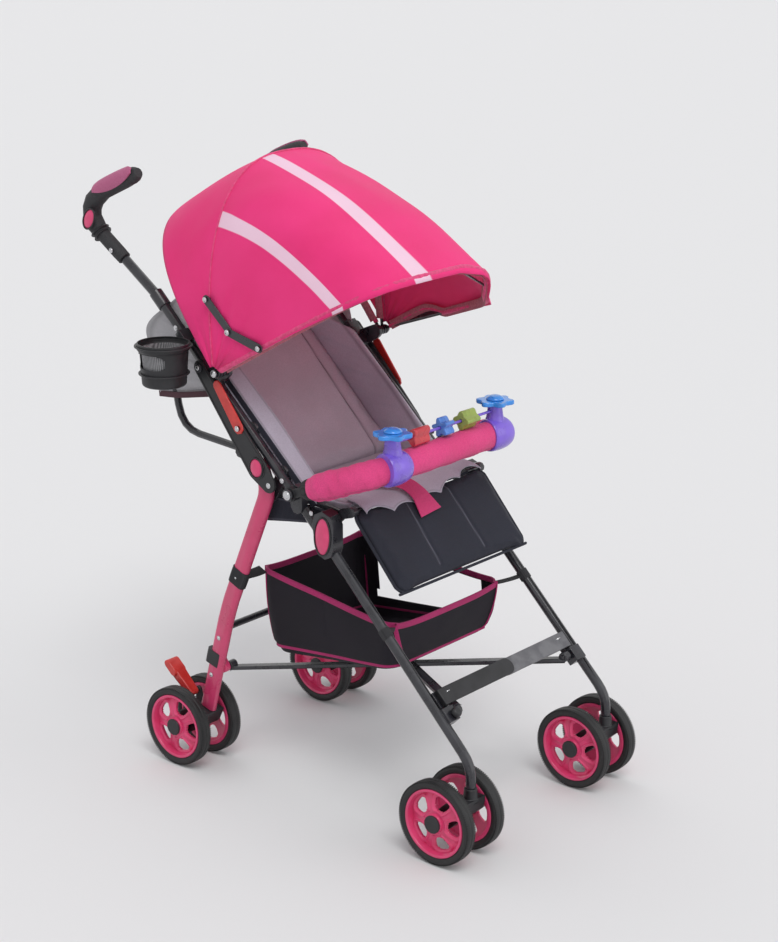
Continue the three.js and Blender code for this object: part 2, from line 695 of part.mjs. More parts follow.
add("front_brace_right", frontBraceHalf(-1, FRONT_BRACE_T + GAP), BLACK, 0.45);
add("front_brace_left", frontBraceHalf(1, 0), 0x6c6d72, 0.45);

// ---------------------------------------------------------------- canopy
function bowPoint(bow, t, grow = 0) {
  const e = 2 / bow.power;
  const x = -Math.sign(Math.cos(t)) * Math.abs(Math.cos(t)) ** e * bow.half;
  const v = Math.abs(Math.sin(t)) ** e * (bow.height + grow);
  const a = THREE.MathUtils.degToRad(bow.angle);
  return [x, CANOPY_PIVOT[0] + v * Math.cos(a), CANOPY_PIVOT[1] + v * Math.sin(a)];
}

// Where a bow's curve stands a given way out from the pivot, as its angle t.
function bowStart(bow, reach) {
  return Math.asin((reach / bow.height) ** (bow.power / 2));
}

function bowEye(bow, side) {
  return crossPin(side * (bow.half - 2), side * (bow.half + 2), CANOPY_PIVOT, 9);
}

function bowTube(bow, extras) {
  const points = [];
  const start = bowStart(bow, 1);
  for (let i = 0; i <= 20; i += 1) {
    const t = start + (i / 20) * (Math.PI - 2 * start);
    points.push(new THREE.Vector3(...bowPoint(bow, t)));
  }
  const tube = sweep(new PointPath(points), circle(BOW_R), 3);
  const bore = boreAt(CANOPY_PIVOT, CANOPY_PIN_R + GAP);
  return cut(fuse(tube, bowEye(bow, -1), bowEye(bow, 1), ...extras), bore);
}

function radial(bow, reach) {
  const a = THREE.MathUtils.degToRad(bow.angle);
  return [CANOPY_PIVOT[0] + reach * Math.cos(a), CANOPY_PIVOT[1] + reach * Math.sin(a)];
}

function studs(bow, reach) {
  const at = radial(bow, STAY_R);
  const from = Math.abs(bowPoint(bow, bowStart(bow, STAY_R))[0]);
  return [-1, 1].map((side) => crossPin(side * from, side * reach, at, STUD_R, 12));
}

const midBow = bowTube(BOWS.mid, studs(BOWS.mid, STAY_IN_X + STAY_T + 2));
const frontBow = bowTube(BOWS.front, studs(BOWS.front, STAY_IN_X + 2 * STAY_T + GAP + 2));
add("canopy_bow_rear", bowTube(BOWS.rear, []), TUBE_BLACK, 0.4, 0.4);
add("canopy_bow_mid", midBow, TUBE_BLACK, 0.4, 0.4);
add("canopy_bow_front", frontBow, TUBE_BLACK, 0.4, 0.4);

// Blends two bows: straight cloth between them, eased a little outwards.
function clothBow(angle) {
  const [a, b] = angle < BOWS.mid.angle ? [BOWS.rear, BOWS.mid] : [BOWS.mid, BOWS.front];
  const span = THREE.MathUtils.degToRad(b.angle - a.angle);
  const k = (angle - a.angle) / (b.angle - a.angle);
  const u = THREE.MathUtils.clamp(k, 0, 1);
  const ra = a.height + BOW_R + CLOTH_CLEAR;
  const rb = b.height + BOW_R + CLOTH_CLEAR;
  const chord = Math.sin(span) / (Math.sin(span * (1 - u)) / ra + Math.sin(span * u) / rb);
  const arc = ra + (rb - ra) * u;
  return {
    angle,
    half: BOWS.front.half + BOW_R + CLOTH_CLEAR,
    height: chord + (arc - chord) * CLOTH_BULGE,
    power: a.power + (b.power - a.power) * u,
  };
}

const clothAngles = [BOWS.rear.angle - 2];
for (const [from, to] of [[BOWS.rear, BOWS.mid], [BOWS.mid, BOWS.front]]) {
  for (let i = 0; i < 5; i += 1) {
    clothAngles.push(from.angle + (i / 5) * (to.angle - from.angle));
  }
}
clothAngles.push(BOWS.front.angle, BOWS.front.angle + 1.5);

const canopyCloth = shaped(clothAngles.length - 1, 20, 1, (u, v, w) => {
  const step = Math.round(((u + 1) / 2) * (clothAngles.length - 1));
  const bow = clothBow(clothAngles[step]);
  const start = bowStart(bow, CLOTH_FOOT);
  const t = start + ((v + 1) / 2) * (Math.PI - 2 * start);
  const out = w < 0 ? 0 : CLOTH_T;
  return bowPoint({ ...bow, half: bow.half + out }, t, out);
});
const studHoles = [BOWS.mid, BOWS.front].map((bow) => (
  boreAt(radial(bow, STAY_R), STUD_R + GAP)
));
add("canopy_cloth", cut(canopyCloth, ...studHoles), PINK, 0.8);

// Two-link side stays that lock the front bow open; their elbow sits just inside.
function stayLink(bow, elbow, x) {
  const shape = linked([...radial(bow, STAY_R), 8], [...elbow, 7]);
  const plate = sidePlate(shape, -x - STAY_T, STAY_T);
  const bore = boreAt(radial(bow, STAY_R), STUD_R + GAP);
  return cut(plate, bore);
}

const stayA = new THREE.Vector2(...radial(BOWS.mid, STAY_R));
const stayB = new THREE.Vector2(...radial(BOWS.front, STAY_R));
const stayMiddle = stayA.clone().add(stayB).multiplyScalar(0.5);
const stayDrop = Math.sqrt(STAY_LINK ** 2 - (stayA.distanceTo(stayB) / 2) ** 2);
const elbow = new THREE.Vector2(...CANOPY_PIVOT)
  .sub(stayMiddle)
  .setLength(stayDrop)
  .add(stayMiddle)
  .toArray();
addPair("canopy_stay_rear", stayLink(BOWS.mid, elbow, STAY_IN_X), BLACK, 0.45);
const frontStay = stayLink(BOWS.front, elbow, STAY_IN_X + STAY_T + GAP);
addPair("canopy_stay_front", frontStay, BLACK, 0.45);

// ---------------------------------------------------------------- seat
function hingedBoard(name, [y, z], angle, length, half, thick, start, color) {
  const a = THREE.MathUtils.degToRad(angle);
  const along = [Math.cos(a), Math.sin(a)];
  const pad = cushion(2 * half, length - start, thick, (u, v, w) => {
    const d = start + (length - start) / 2 + v;
    return [u, y + along[0] * d - along[1] * w, z + along[1] * d + along[0] * w];
  });
  const tip = [y + along[0] * (start + 22), z + along[1] * (start + 22), 6];
  const ears = [-EAR_OUT, EAR_OUT - EAR_T].map((x) => (
    sidePlate(linked([y, z, 9], tip), x, EAR_T)
  ));
  const bore = boreAt([y, z], HINGE_PIN_R + GAP);
  add(name, cut(fuse(pad, ...ears), bore), color, 0.85);
}

const GREY = 0x7f7a83;
hingedBoard("backrest", BACK_HINGE, BACK_ANGLE, BACK_LENGTH, BACK_HALF, BACK_T, 12, GREY);
hingedBoard("calf_rest", CALF_HINGE, CALF_ANGLE, CALF_LENGTH, CALF_HALF, CALF_T, 12, 0x26262b);

const panMid = (SEAT_FRONT_Y + SEAT_REAR_Y) / 2;
const seatPan = cushion(2 * SEAT_HALF, SEAT_REAR_Y - SEAT_FRONT_Y, SEAT_T, (u, v, w) => (
  [u, panMid + v, SEAT_Z + w]
));
add("seat_pad", seatPan, GREY, 0.85);

const strapZ = SEAT_Z + SEAT_T / 2 + GAP;
const strap = shaped(6, 1, 1, (u, v, w) => (
  [-85 + u * 55, -8 - u * 24 + v * 12, strapZ + 1 + w]
));
add("crotch_strap", strap, PINK, 0.8);

const uPath = (side) => [
  [side * RECLINE_X, ...RECLINE_PIVOT],
  [side * RECLINE_X, 342, RECLINE_PIVOT[1] + 11, 44],
  [side * RECLINE_X, ...RECLINE_CROSS, 26],
];
const uTube = pipe([...uPath(-1), ...uPath(1).reverse()], RECLINE_R, 4, 4);
const uEyes = [-1, 1].map((side) => (
  crossPin(side * (RECLINE_X - 6), side * (RECLINE_X + 6), RECLINE_PIVOT, 10)
));
const uBore = boreAt(RECLINE_PIVOT, RECLINE_PIN_R + GAP);
add("recline_bar", cut(fuse(uTube, ...uEyes), uBore), TUBE_BLACK, 0.4, 0.4);

// ---------------------------------------------------------------- basket
function basketBlock(half, y0, y1, inset, top) {
  return shaped(1, 1, 1, (u, v, w) => {
    const k = (v + 1) / 2;
    const floor = BASKET_FLOOR[0] + (BASKET_FLOOR[1] - BASKET_FLOOR[0]) * k + inset;
    const rim = BASKET_RIM[0] + (BASKET_RIM[1] - BASKET_RIM[0]) * k + top;
    return [u * half, y0 + (y1 - y0) * k, w < 0 ? floor : rim];
  });
}

const basketOuter = basketBlock(BASKET_HALF, ...BASKET_Y, 0, 0);
const basketInner = basketBlock(
  BASKET_HALF - BASKET_WALL, BASKET_Y[0] + BASKET_WALL, BASKET_Y[1] - BASKET_WALL, BASKET_WALL, 20,
);
const basketShell = cut(basketOuter, basketInner);

// Corner straps that run from the basket's walls out to the frame.
function basketTab(side, from, to, width) {
  return shaped(1, 1, 1, (u, v, w) => {
    const k = (u + 1) / 2;
    const [x, y, z] = from.map((value, i) => value + (to[i] - value) * k);
    return [side * x, y + (v * width) / 2, z + w * 7];
  });
}

const frontHold = onLower(202);
const alongTube = (frontHold[0] - CASTER_Y) / (onMain(BEND_S)[0] - CASTER_Y);
const frontReach = KNEE_X + (MAIN_X - KNEE_X) * alongTube - TUBE_R - GAP;
const rearReach = TRACK_X - LEG_T / 2 - GAP;
const basketTabs = [-1, 1].flatMap((side) => [
  basketTab(side, [BASKET_HALF - 2, BASKET_Y[0] + 9, 348], [frontReach, ...frontHold], 16),
  basketTab(side, [BASKET_HALF - 2, BASKET_Y[1] - 14, 379], [rearReach, 178, 379], 24),
]);
add("basket", fuse(basketShell, ...basketTabs), 0x1e1e22, 0.85);

// ---------------------------------------------------------------- cup holder
const cupProfile = [
  [0, 0], [38, 0], [41, 3], [CUP_R - 2, CUP_H - 16], [CUP_LIP_R, CUP_H - 14],
  [CUP_LIP_R, CUP_H], [CUP_R - 3, CUP_H], [CUP_R - 4.5, CUP_H - 14], [38, 5], [0, 3],
].map(([r, z]) => new THREE.Vector2(r, z));
const cupBody = welded(new THREE.LatheGeometry(cupProfile, 24)).rotateX(Math.PI / 2);
const cupWindows = [0.25, 1.25, -0.75].map((turn) => (
  new THREE.BoxGeometry(30, 30, 12).translate(CUP_R, 0, CUP_H - 34).rotateZ(turn * Math.PI)
));
add("cup_holder", cut(cupBody, ...cupWindows).translate(...CUP_AT), BLACK, 0.5);

// ---------------------------------------------------------------- toy bar
const barHalf = [
  [BAR_X, -12, 590], [BAR_X - 8, -62, 608], [BAR_X - 44, -116, 628], [94, -131, 634],
];
const barCurve = new THREE.CatmullRomCurve3([
  ...barHalf.map(([x, y, z]) => new THREE.Vector3(-x, y, z)),
  new THREE.Vector3(0, -134, 635),
  ...barHalf.map(([x, y, z]) => new THREE.Vector3(x, y, z)).reverse(),
], false, "centripetal");
const BAR_STEPS = 22;
const barPath = new PointPath(barCurve.getSpacedPoints(BAR_STEPS));

function padded(r) {
  const profile = [[0, 0], [r - 5, 0]];
  for (let k = 1; k < BAR_STEPS; k += 1) profile.push([r, k / BAR_STEPS]);
  profile.push([r - 5, 1], [0, 1]);
  return bentRound(profile, barPath, 10);
}

const barEnds = [-1, 1].flatMap((side) => [
  rodBetween([side * BAR_X, ...BAR_PIVOT], [side * BAR_X, -20, 593], 7.5),
  crossPin(side * (BAR_X - 5.4), side * (BAR_X + 5), BAR_PIVOT, 13),
]);
const barBore = boreAt(BAR_PIVOT, BAR_PIN_R + GAP);
add("toy_bar", cut(fuse(padded(BAR_PAD_R), ...barEnds), barBore), PINK, 0.75);

const postFeet = [-1, 1].flatMap((side) => [
  crossPin(side * (POST_X - 14), side * (POST_X + 14), [POST_Y, POST_FOOT_Z], BAR_PAD_R + 5, 16),
  new THREE.CylinderGeometry(9, 13, POST_TOP_Z - POST_FOOT_Z, 14)
    .rotateX(Math.PI / 2)
    .translate(side * POST_X, POST_Y, (POST_TOP_Z + POST_FOOT_Z) / 2),
  new THREE.CylinderGeometry(DISC_PIN_R, DISC_PIN_R, 16, 12)
    .rotateX(Math.PI / 2)
    .translate(side * POST_X, POST_Y, POST_TOP_Z + 7),
  new THREE.CylinderGeometry(6, 6, 3, 14)
    .rotateX(Math.PI / 2)
    .translate(side * POST_X, POST_Y, POST_TOP_Z + 13.5),
]);
const toyRod = crossPin(-POST_X, POST_X, [POST_Y, ROD_Z], ROD_R, 12);
add("toy_rail", cut(fuse(...postFeet, toyRod), padded(BAR_PAD_R + GAP)), 0x6a3aa8, 0.45);

const petals = new THREE.Shape();
for (let i = 0; i <= 36; i += 1) {
  const t = (i / 36) * Math.PI * 2;
  const r = 30 + 4 * Math.cos(6 * t);
  if (i === 0) petals.moveTo(r, 0);
  else petals.lineTo(r * Math.cos(t), r * Math.sin(t));
}
petals.holes.push(new THREE.Path().absarc(0, 0, DISC_PIN_R + GAP, 0, Math.PI * 2, true));
const discSettings = { depth: 8, bevelEnabled: false, curveSegments: 6 };
const disc = new THREE.ExtrudeGeometry(petals, discSettings);
for (const [name, side] of [["right", -1], ["left", 1]]) {
  add(
    `toy_flower_${name}`,
    welded(disc).translate(side * POST_X, POST_Y, POST_TOP_Z + GAP),
    0x2f8fe0, 0.4,
  );
}

const TOYS = [
  ["toy_propeller", -74, 3, 13, 4, 40, 0xd92b2b],
  ["toy_star", -4, 5, 14, 4, 24, 0x2f6fd8],
  ["toy_clover", 60, 4, 14.5, 3, 36, 0x5fae3c],
];
for (const [name, x, lobes, r, swing, width, color] of TOYS) {
  const shape = new THREE.Shape();
  for (let i = 0; i <= 30; i += 1) {
    const t = (i / 30) * Math.PI * 2;
    const reach = r + swing * Math.cos(lobes * t);
    if (i === 0) shape.moveTo(reach, 0);
    else shape.lineTo(reach * Math.cos(t), reach * Math.sin(t));
  }
  shape.holes.push(new THREE.Path().absarc(0, 0, ROD_R + GAP, 0, Math.PI * 2, true));
  const toy = sidePlate(shape, -width / 2, width, 6);
  add(name, welded(toy).translate(x, POST_Y, ROD_Z), color, 0.4);
}

export default group;
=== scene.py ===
# Folding umbrella stroller with twin wheels, a reclining padded seat, a bowed canopy,
# a toy bar, a sewn basket and a cup holder. Metres, +Z up, the front faces -Y.
import json
import math

import bmesh
import bpy
import numpy as np
from mathutils import Matrix, Vector

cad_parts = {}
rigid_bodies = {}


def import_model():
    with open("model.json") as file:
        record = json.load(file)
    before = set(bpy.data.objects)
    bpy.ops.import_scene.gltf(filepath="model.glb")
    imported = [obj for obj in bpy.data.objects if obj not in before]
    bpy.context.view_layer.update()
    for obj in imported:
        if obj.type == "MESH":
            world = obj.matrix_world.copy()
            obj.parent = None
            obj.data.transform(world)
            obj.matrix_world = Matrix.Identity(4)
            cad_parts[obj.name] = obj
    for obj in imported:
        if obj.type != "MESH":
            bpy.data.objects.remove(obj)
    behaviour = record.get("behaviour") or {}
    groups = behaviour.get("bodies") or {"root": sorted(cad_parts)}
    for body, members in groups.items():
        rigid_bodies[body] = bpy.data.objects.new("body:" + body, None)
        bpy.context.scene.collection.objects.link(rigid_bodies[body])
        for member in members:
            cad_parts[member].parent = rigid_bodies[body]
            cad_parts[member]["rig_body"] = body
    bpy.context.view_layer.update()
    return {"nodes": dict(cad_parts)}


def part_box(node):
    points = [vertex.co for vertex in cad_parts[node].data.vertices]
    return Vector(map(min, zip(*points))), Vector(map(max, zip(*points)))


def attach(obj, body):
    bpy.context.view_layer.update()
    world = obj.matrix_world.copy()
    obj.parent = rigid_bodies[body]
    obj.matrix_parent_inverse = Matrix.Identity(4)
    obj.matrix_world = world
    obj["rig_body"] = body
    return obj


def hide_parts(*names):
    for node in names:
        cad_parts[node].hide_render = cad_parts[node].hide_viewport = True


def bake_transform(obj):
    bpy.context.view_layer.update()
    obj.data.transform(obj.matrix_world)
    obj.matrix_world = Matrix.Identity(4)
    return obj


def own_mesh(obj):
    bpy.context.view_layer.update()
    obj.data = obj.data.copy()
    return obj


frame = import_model()


# ---- Camera, floor and light ------------------------------------------------------
# A pale studio floor under soft, even daylight lamps, seen from ahead of the seated
# child's right side at about a standing adult's eye level.
scene = bpy.context.scene
camera = bpy.data.objects.new("camera", bpy.data.cameras.new("camera"))
scene.collection.objects.link(camera)
camera.data.sensor_width = 36
camera.data.lens = 79.45
camera.location = (-2.65345, -2.3505, 1.6394)
camera.rotation_mode = "QUATERNION"
camera.rotation_quaternion = Vector((0.7302, 0.6185, -0.2905)).to_track_quat("-Z", "Y")
scene.camera = camera
scene.view_settings.view_transform = "Standard"


class Link:
    """One output socket; arithmetic on it adds Math nodes to its tree."""

    def __init__(self, tree, socket):
        self.tree = tree
        self.socket = socket

    def math(self, operation, *values):
        return self.tree.node("ShaderNodeMath", {"operation": operation}, dict(enumerate(values)))

    def __add__(self, other):
        return self.math("ADD", self, other)

    def __sub__(self, other):
        return self.math("SUBTRACT", self, other)

    def __rsub__(self, other):
        return self.math("SUBTRACT", other, self)

    def __mul__(self, other):
        return self.math("MULTIPLY", self, other)

    __radd__ = __add__
    __rmul__ = __mul__

    def sine(self):
        return self.math("SINE", self)

    def size(self):
        return self.math("ABSOLUTE", self)

    def between(self, low, high):
        return self.tree.node(
            "ShaderNodeMapRange", {"interpolation_type": "SMOOTHSTEP"}, {0: self, 1: low, 2: high})


class Tree:
    """A node tree of a material or of geometry nodes."""

    def __init__(self, tree):
        self.tree = tree

    def node(self, kind, settings=None, inputs=None, output=0):
        made = self.tree.nodes.new(kind)
        for name, value in (settings or {}).items():
            setattr(made, name, value)
        for name, value in (inputs or {}).items():
            self.feed(made.inputs[name], value)
        return Link(self, made.outputs[output] if len(made.outputs) else None)

    def feed(self, socket, value):
        if isinstance(value, Link):
            self.tree.links.new(value.socket, socket)
        elif socket.type == "RGBA" and len(value) == 3:
            socket.default_value = (*value, 1)
        else:
            socket.default_value = value


class Finish(Tree):
    """A material: constants sit on the shader's own sockets, the rest is linked."""

    def __init__(self, name, color, roughness, **sockets):
        self.material = bpy.data.materials.new(name)
        self.material.use_nodes = True
        super().__init__(self.material.node_tree)
        self.shader = self.tree.nodes["Principled BSDF"]
        self.put("Base Color", color)
        self.put("Roughness", roughness)
        for socket, value in sockets.items():
            self.put(socket.replace("_", " "), value)

    def put(self, socket, value):
        self.feed(self.shader.inputs[socket], value)

    def axes(self, output="Object"):
        place = self.node("ShaderNodeTexCoord", output=output)
        split = self.node("ShaderNodeSeparateXYZ", inputs={0: place}).socket.node
        return [Link(self, socket) for socket in split.outputs]

    def noise(self, scale, detail=3):
        place = self.node("ShaderNodeTexCoord", output="Object")
        return self.node("ShaderNodeTexNoise", inputs={
            "Vector": place, "Scale": scale, "Detail": detail})

    def mix(self, share, a, b):
        inputs = {"Factor": share, 6: a, 7: b}
        return self.node("ShaderNodeMix", {"data_type": "RGBA"}, inputs, output=2)

    def bump(self, height, depth, strength):
        inputs = {"Height": height, "Distance": depth, "Strength": strength}
        self.put("Normal", self.node("ShaderNodeBump", inputs=inputs))


def raw_mesh(name, vertices, faces):
    """A mesh of these points and faces."""
    mesh = bpy.data.meshes.new(name)
    mesh.from_pydata([tuple(v) for v in vertices], [], faces)
    return mesh


FLOOR_HALF, FLOOR_LEVEL = 40, -0.001
floor_mesh = raw_mesh("floor", [(x * FLOOR_HALF, y * FLOOR_HALF, FLOOR_LEVEL)
                                for x, y in ((-1, -1), (1, -1), (1, 1), (-1, 1))], [(0, 1, 2, 3)])
floor_mesh.materials.append(Finish("floor", (0.80, 0.80, 0.80), 0.9).material)
floor = bpy.data.objects.new("floor", floor_mesh)
scene.collection.objects.link(floor)

world = bpy.data.worlds.new("studio")
world.use_nodes = True
scene.world = world
sky = Tree(world.node_tree)
ray = sky.node("ShaderNodeLightPath").socket.node.outputs
by_camera, by_gloss = (Link(sky, ray[f"Is {kind} Ray"]) for kind in ("Camera", "Glossy"))
seen = by_camera.math("MAXIMUM", by_camera, by_gloss)
backdrop = sky.node("ShaderNodeBackground", inputs={"Color": (0.81, 0.81, 0.81), "Strength": 1.0})
soft_sky = sky.node("ShaderNodeBackground", inputs={"Color": (0.97, 0.97, 1.0), "Strength": 0.62})
both = sky.node("ShaderNodeMixShader", inputs={0: seen, 1: soft_sky, 2: backdrop})
world.node_tree.links.new(both.socket, world.node_tree.nodes["World Output"].inputs["Surface"])

for name, aim, strength, spread in [
    ("key lamp", (0.36, 0.48, -0.95), 1.0, 28),
    ("fill lamp", (-0.35, 0.9, -0.32), 0.55, 50),
    ("back lamp", (-0.3, -0.8, -0.9), 0.25, 50),
]:
    lamp = bpy.data.objects.new(name, bpy.data.lights.new(name, "SUN"))
    lamp.data.energy = strength
    lamp.data.angle = math.radians(spread)
    lamp.rotation_mode = "QUATERNION"
    lamp.rotation_quaternion = Vector(aim).to_track_quat("-Z", "Y")
    scene.collection.objects.link(lamp)


# ---- Tyres ---------------------------------------------------------------------
# Eight soft black tyres, 150 mm across and 24 mm wide, moulded with a ring of short
# lugs round each shoulder and a shallow groove down the middle of the tread.
SIDES = ((-1, "right"), (1, "left"))
WHEEL_RADIUS, HALF_TRACK, TWIN_GAP = 75, 196, 39  # millimetres
AXLES = (("front", -307), ("rear", 307))
LUGS = 116


def at(x, y, z):
    """A point of the stroller's own drawing, in millimetres, put in the frame."""
    return Vector(((x + 30.35) / 1000, (y - 73.7) / 1000, z / 1000))


def welded(mesh, distance):
    """Joins a mesh's doubled points and turns its faces outwards."""
    work = bmesh.new()
    work.from_mesh(mesh)
    bmesh.ops.remove_doubles(work, verts=work.verts, dist=distance)
    bmesh.ops.recalc_face_normals(work, faces=work.faces)
    work.to_mesh(mesh)
    work.free()
    return mesh


def handed(piece, finish, body, slot, nodes=(), smooth=40):
    """Gives a piece its material and its body, and hides the CAD nodes that it stands for."""
    if piece.name not in scene.collection.objects:
        scene.collection.objects.link(piece)
    piece.data.materials.clear()
    piece.data.materials.append(finish.material)
    piece.data.shade_smooth()
    piece.data.set_sharp_from_angle(angle=math.radians(smooth))
    if body:
        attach(piece, body)
    if nodes:
        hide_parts(*nodes)
    return piece


def made(name, solid, finish, body, slot, nodes=(), smooth=40):
    """Makes one closed piece, welded and with its faces outwards, and hands it to its body."""
    mesh = welded(raw_mesh(name, *solid), 1e-6)
    return handed(bpy.data.objects.new(name, mesh), finish, body, slot, nodes, smooth)


def bevelled(piece, width, segments=2, angle=50):
    """Rounds a piece's edges that are sharper than the angle."""
    edge = piece.modifiers.new("softened", "BEVEL")
    edge.width, edge.segments, edge.limit_method = width, segments, "ANGLE"
    edge.angle_limit = math.radians(angle)
    return edge


def grid_faces(rows, columns, rows_meet=False, columns_meet=False):
    """The faces between rows of points; each way may close on itself."""
    return [(i * columns + j, i * columns + (j + 1) % columns,
             (i + 1) % rows * columns + (j + 1) % columns, (i + 1) % rows * columns + j)
            for i in range(rows if rows_meet else rows - 1)
            for j in range(columns if columns_meet else columns - 1)]


def turned(profile, count):
    """A closed ring turned round X from (radius, x) corners."""
    turns = [2 * math.pi * i / count for i in range(count)]
    points = [Vector((x, r * math.cos(a), r * math.sin(a))) for a in turns for r, x in profile]
    return points, grid_faces(count, len(profile), True, True)


def soft_corners(corners, radius, steps=4):
    """Rounds each corner of a closed outline of (a, b) points."""
    points = []
    for i, corner in enumerate(corners):
        here = Vector(corner)
        before = Vector(corners[i - 1]) - here
        after = Vector(corners[(i + 1) % len(corners)]) - here
        r = min(radius, before.length * 0.45, after.length * 0.45)
        a, b = here + before.normalized() * r, here + after.normalized() * r
        for k in range(steps + 1):
            t = k / steps
            points.append(a * (1 - t) ** 2 + here * 2 * t * (1 - t) + b * t * t)
    return points


def merged(*solids):
    """Several solids' points and faces as one."""
    points, faces = [], []
    for more, their_faces in solids:
        first = len(points)
        points += more
        faces += [tuple(first + i for i in face) for face in their_faces]
    return points, faces


def mottled(name, patches, dark, light, rough, grain, **sockets):
    """A finish in soft patches of two tones, with a fine grain.

    patches is (scale, detail, low, high), rough is the roughness of the dark tone and
    what the light one adds, grain is (scale, detail, depth, strength)."""
    finish = Finish(name, light, rough[0], **sockets)
    share = finish.noise(*patches[:2]).between(*patches[2:])
    if dark != light:
        finish.put("Base Color", finish.mix(share, dark, light))
    if rough[1]:
        finish.put("Roughness", rough[0] + share * rough[1])
    finish.bump(finish.noise(*grain[:2]), *grain[2:])
    return finish


rubber = mottled("tyre rubber", (90, 4, 0.52, 0.7), (0.011, 0.011, 0.012),
                 (0.030, 0.030, 0.031), (0.55, 0.25), (600, 2, 0.0004, 0.5))


def size_tree(name, sizes):
    """A geometry nodes tree with a named input for each of its sizes, and those inputs."""
    group = bpy.data.node_groups.new(name, "GeometryNodeTree")
    group.is_modifier = True
    face = group.interface
    face.new_socket("Geometry", in_out="INPUT", socket_type="NodeSocketGeometry")
    for title, (kind, value) in sizes.items():
        socket = face.new_socket(title, in_out="INPUT", socket_type=f"NodeSocket{kind}")
        socket.default_value = value
    face.new_socket("Geometry", in_out="OUTPUT", socket_type="NodeSocketGeometry")
    tree = Tree(group)
    tree.node("NodeGroupInput")
    return tree, {s.name: Link(tree, s) for s in group.nodes["Group Input"].outputs}


def together(tree, parts):
    """Joins what several nodes make."""
    both = tree.node("GeometryNodeJoinGeometry")
    for part in parts:
        tree.tree.links.new(part.socket, both.socket.node.inputs[0])
    return both


def real_group(tree, copies, finish):
    """Ends a tree: its copies become real, and get their material."""
    real = tree.node("GeometryNodeRealizeInstances", inputs={0: copies})
    coloured = tree.node("GeometryNodeSetMaterial", inputs={0: real, "Material": finish.material})
    tree.node("NodeGroupOutput")
    tree.tree.links.new(coloured.socket, tree.tree.nodes["Group Output"].inputs[0])
    return tree.tree


def lug_ring():
    """Geometry nodes: short lugs set round both shoulders of a tyre."""
    t, sizes = size_tree("tread lugs", {
        "Count": ("Int", LUGS), "Radius": ("Float", 0.0729), "Shoulder": ("Float", 0.0082)})
    ring = t.node("GeometryNodeMeshCircle", inputs={
        "Vertices": sizes["Count"], "Radius": sizes["Radius"]})
    upright = t.node("GeometryNodeTransform", inputs={
        "Geometry": ring, "Rotation": (0, math.pi / 2, 0)})
    lug = t.node("GeometryNodeMeshCube", inputs={"Size": (0.0056, 0.0021, 0.0017)})
    pointing = t.node("FunctionNodeAlignRotationToVector", {"axis": "Z"}, {
        "Vector": t.node("GeometryNodeInputPosition")})
    lugs = t.node("GeometryNodeInstanceOnPoints", inputs={
        "Points": upright, "Instance": lug, "Rotation": pointing})
    halves = [t.node("GeometryNodeTransform", inputs={
        "Geometry": lugs,
        "Translation": t.node("ShaderNodeCombineXYZ", inputs={"X": sizes["Shoulder"] * side}),
        "Rotation": (math.pi / LUGS * (side > 0), 0, 0)}) for side in (-1, 1)]
    return real_group(t, together(t, halves), rubber)


def grown(name, group, start=None):
    """The plain mesh that a geometry nodes tree makes from a start mesh."""
    seed = bpy.data.objects.new(name, start or bpy.data.meshes.new(name))
    scene.collection.objects.link(seed)
    seed.modifiers.new("grow", "NODES").node_group = group
    graph = bpy.context.evaluated_depsgraph_get()
    mesh = bpy.data.meshes.new_from_object(seed.evaluated_get(graph))
    bpy.data.objects.remove(seed)
    return mesh


tyre_section = [(0.0610, -0.0095), (0.0675, -0.0118), (0.0715, -0.0110), (0.0742, -0.0066),
                (0.0744, -0.0016), (0.0736, -0.0008)]
tyre_section += [(r, -x) for r, x in reversed(tyre_section)]
lug_mesh = grown("lugs", lug_ring())
lugs = [v.co.copy() for v in lug_mesh.vertices], [tuple(f.vertices) for f in lug_mesh.polygons]
tyre_points, tyre_faces = merged(turned(soft_corners(tyre_section, 0.0012, 2), 72), lugs)

WHEELS = [
    (f"{end}_{name}_{place}", at(side * (HALF_TRACK + out * TWIN_GAP), y, WHEEL_RADIUS))
    for end, y in AXLES for side, name in SIDES for place, out in (("outer", 1), ("inner", -1))
]
for name, centre in WHEELS:
    made(f"Tyre_{name}", ([centre + v for v in tyre_points], tyre_faces), rubber,
         f"wheel_{name}", "tyre_black", [f"tyre_{name}"], 35)

# ---- Rims ----------------------------------------------------------------------
# Bright pink moulded rims with a deep lip and a raised spider of five broad spokes
# between five rounded windows; each turns on the axle behind a dark cap.
moulded_pink = mottled("moulded pink", (35, 3, 0.3, 0.7), (0.66, 0.043, 0.150),
                       (0.76, 0.058, 0.190), (0.30, 0.10), (900, 2, 0.00015, 0.4),
                       Coat_Weight=0.25)
SPOKE_ROWS, SECTORS, WINDOWS = 20, 160, 5
DISC_INNER, DISC_OUTER = 0.0150, 0.0545


def pierced(rows, columns, place, is_open, foot_open=False):
    """Two layers of points, place(layer, row, column), with a wall round each opening."""
    points = [place(layer, i, j) for layer in (0, 1) for i in range(rows) for j in range(columns)]
    ring = rows * columns
    solid = {(i, j) for i in range(rows - 1) for j in range(columns) if not is_open(i, j)}
    faces = []
    for i, j in solid:
        m = (j + 1) % columns
        a, b, c, d = (row * columns + k for row, k in ((i, j), (i, m), (i + 1, m), (i + 1, j)))
        faces += [(ring + a, ring + d, ring + c, ring + b), (a, b, c, d)]
        for near, (p, q) in {(i - 1, j): (a, b), (i + 1, j): (c, d), (i, m): (b, c),
                             (i, (j - 1) % columns): (d, a)}.items():
            if near not in solid and not (foot_open and near[0] < 0):
                faces.append((p, ring + p, ring + q, q))
    return points, faces


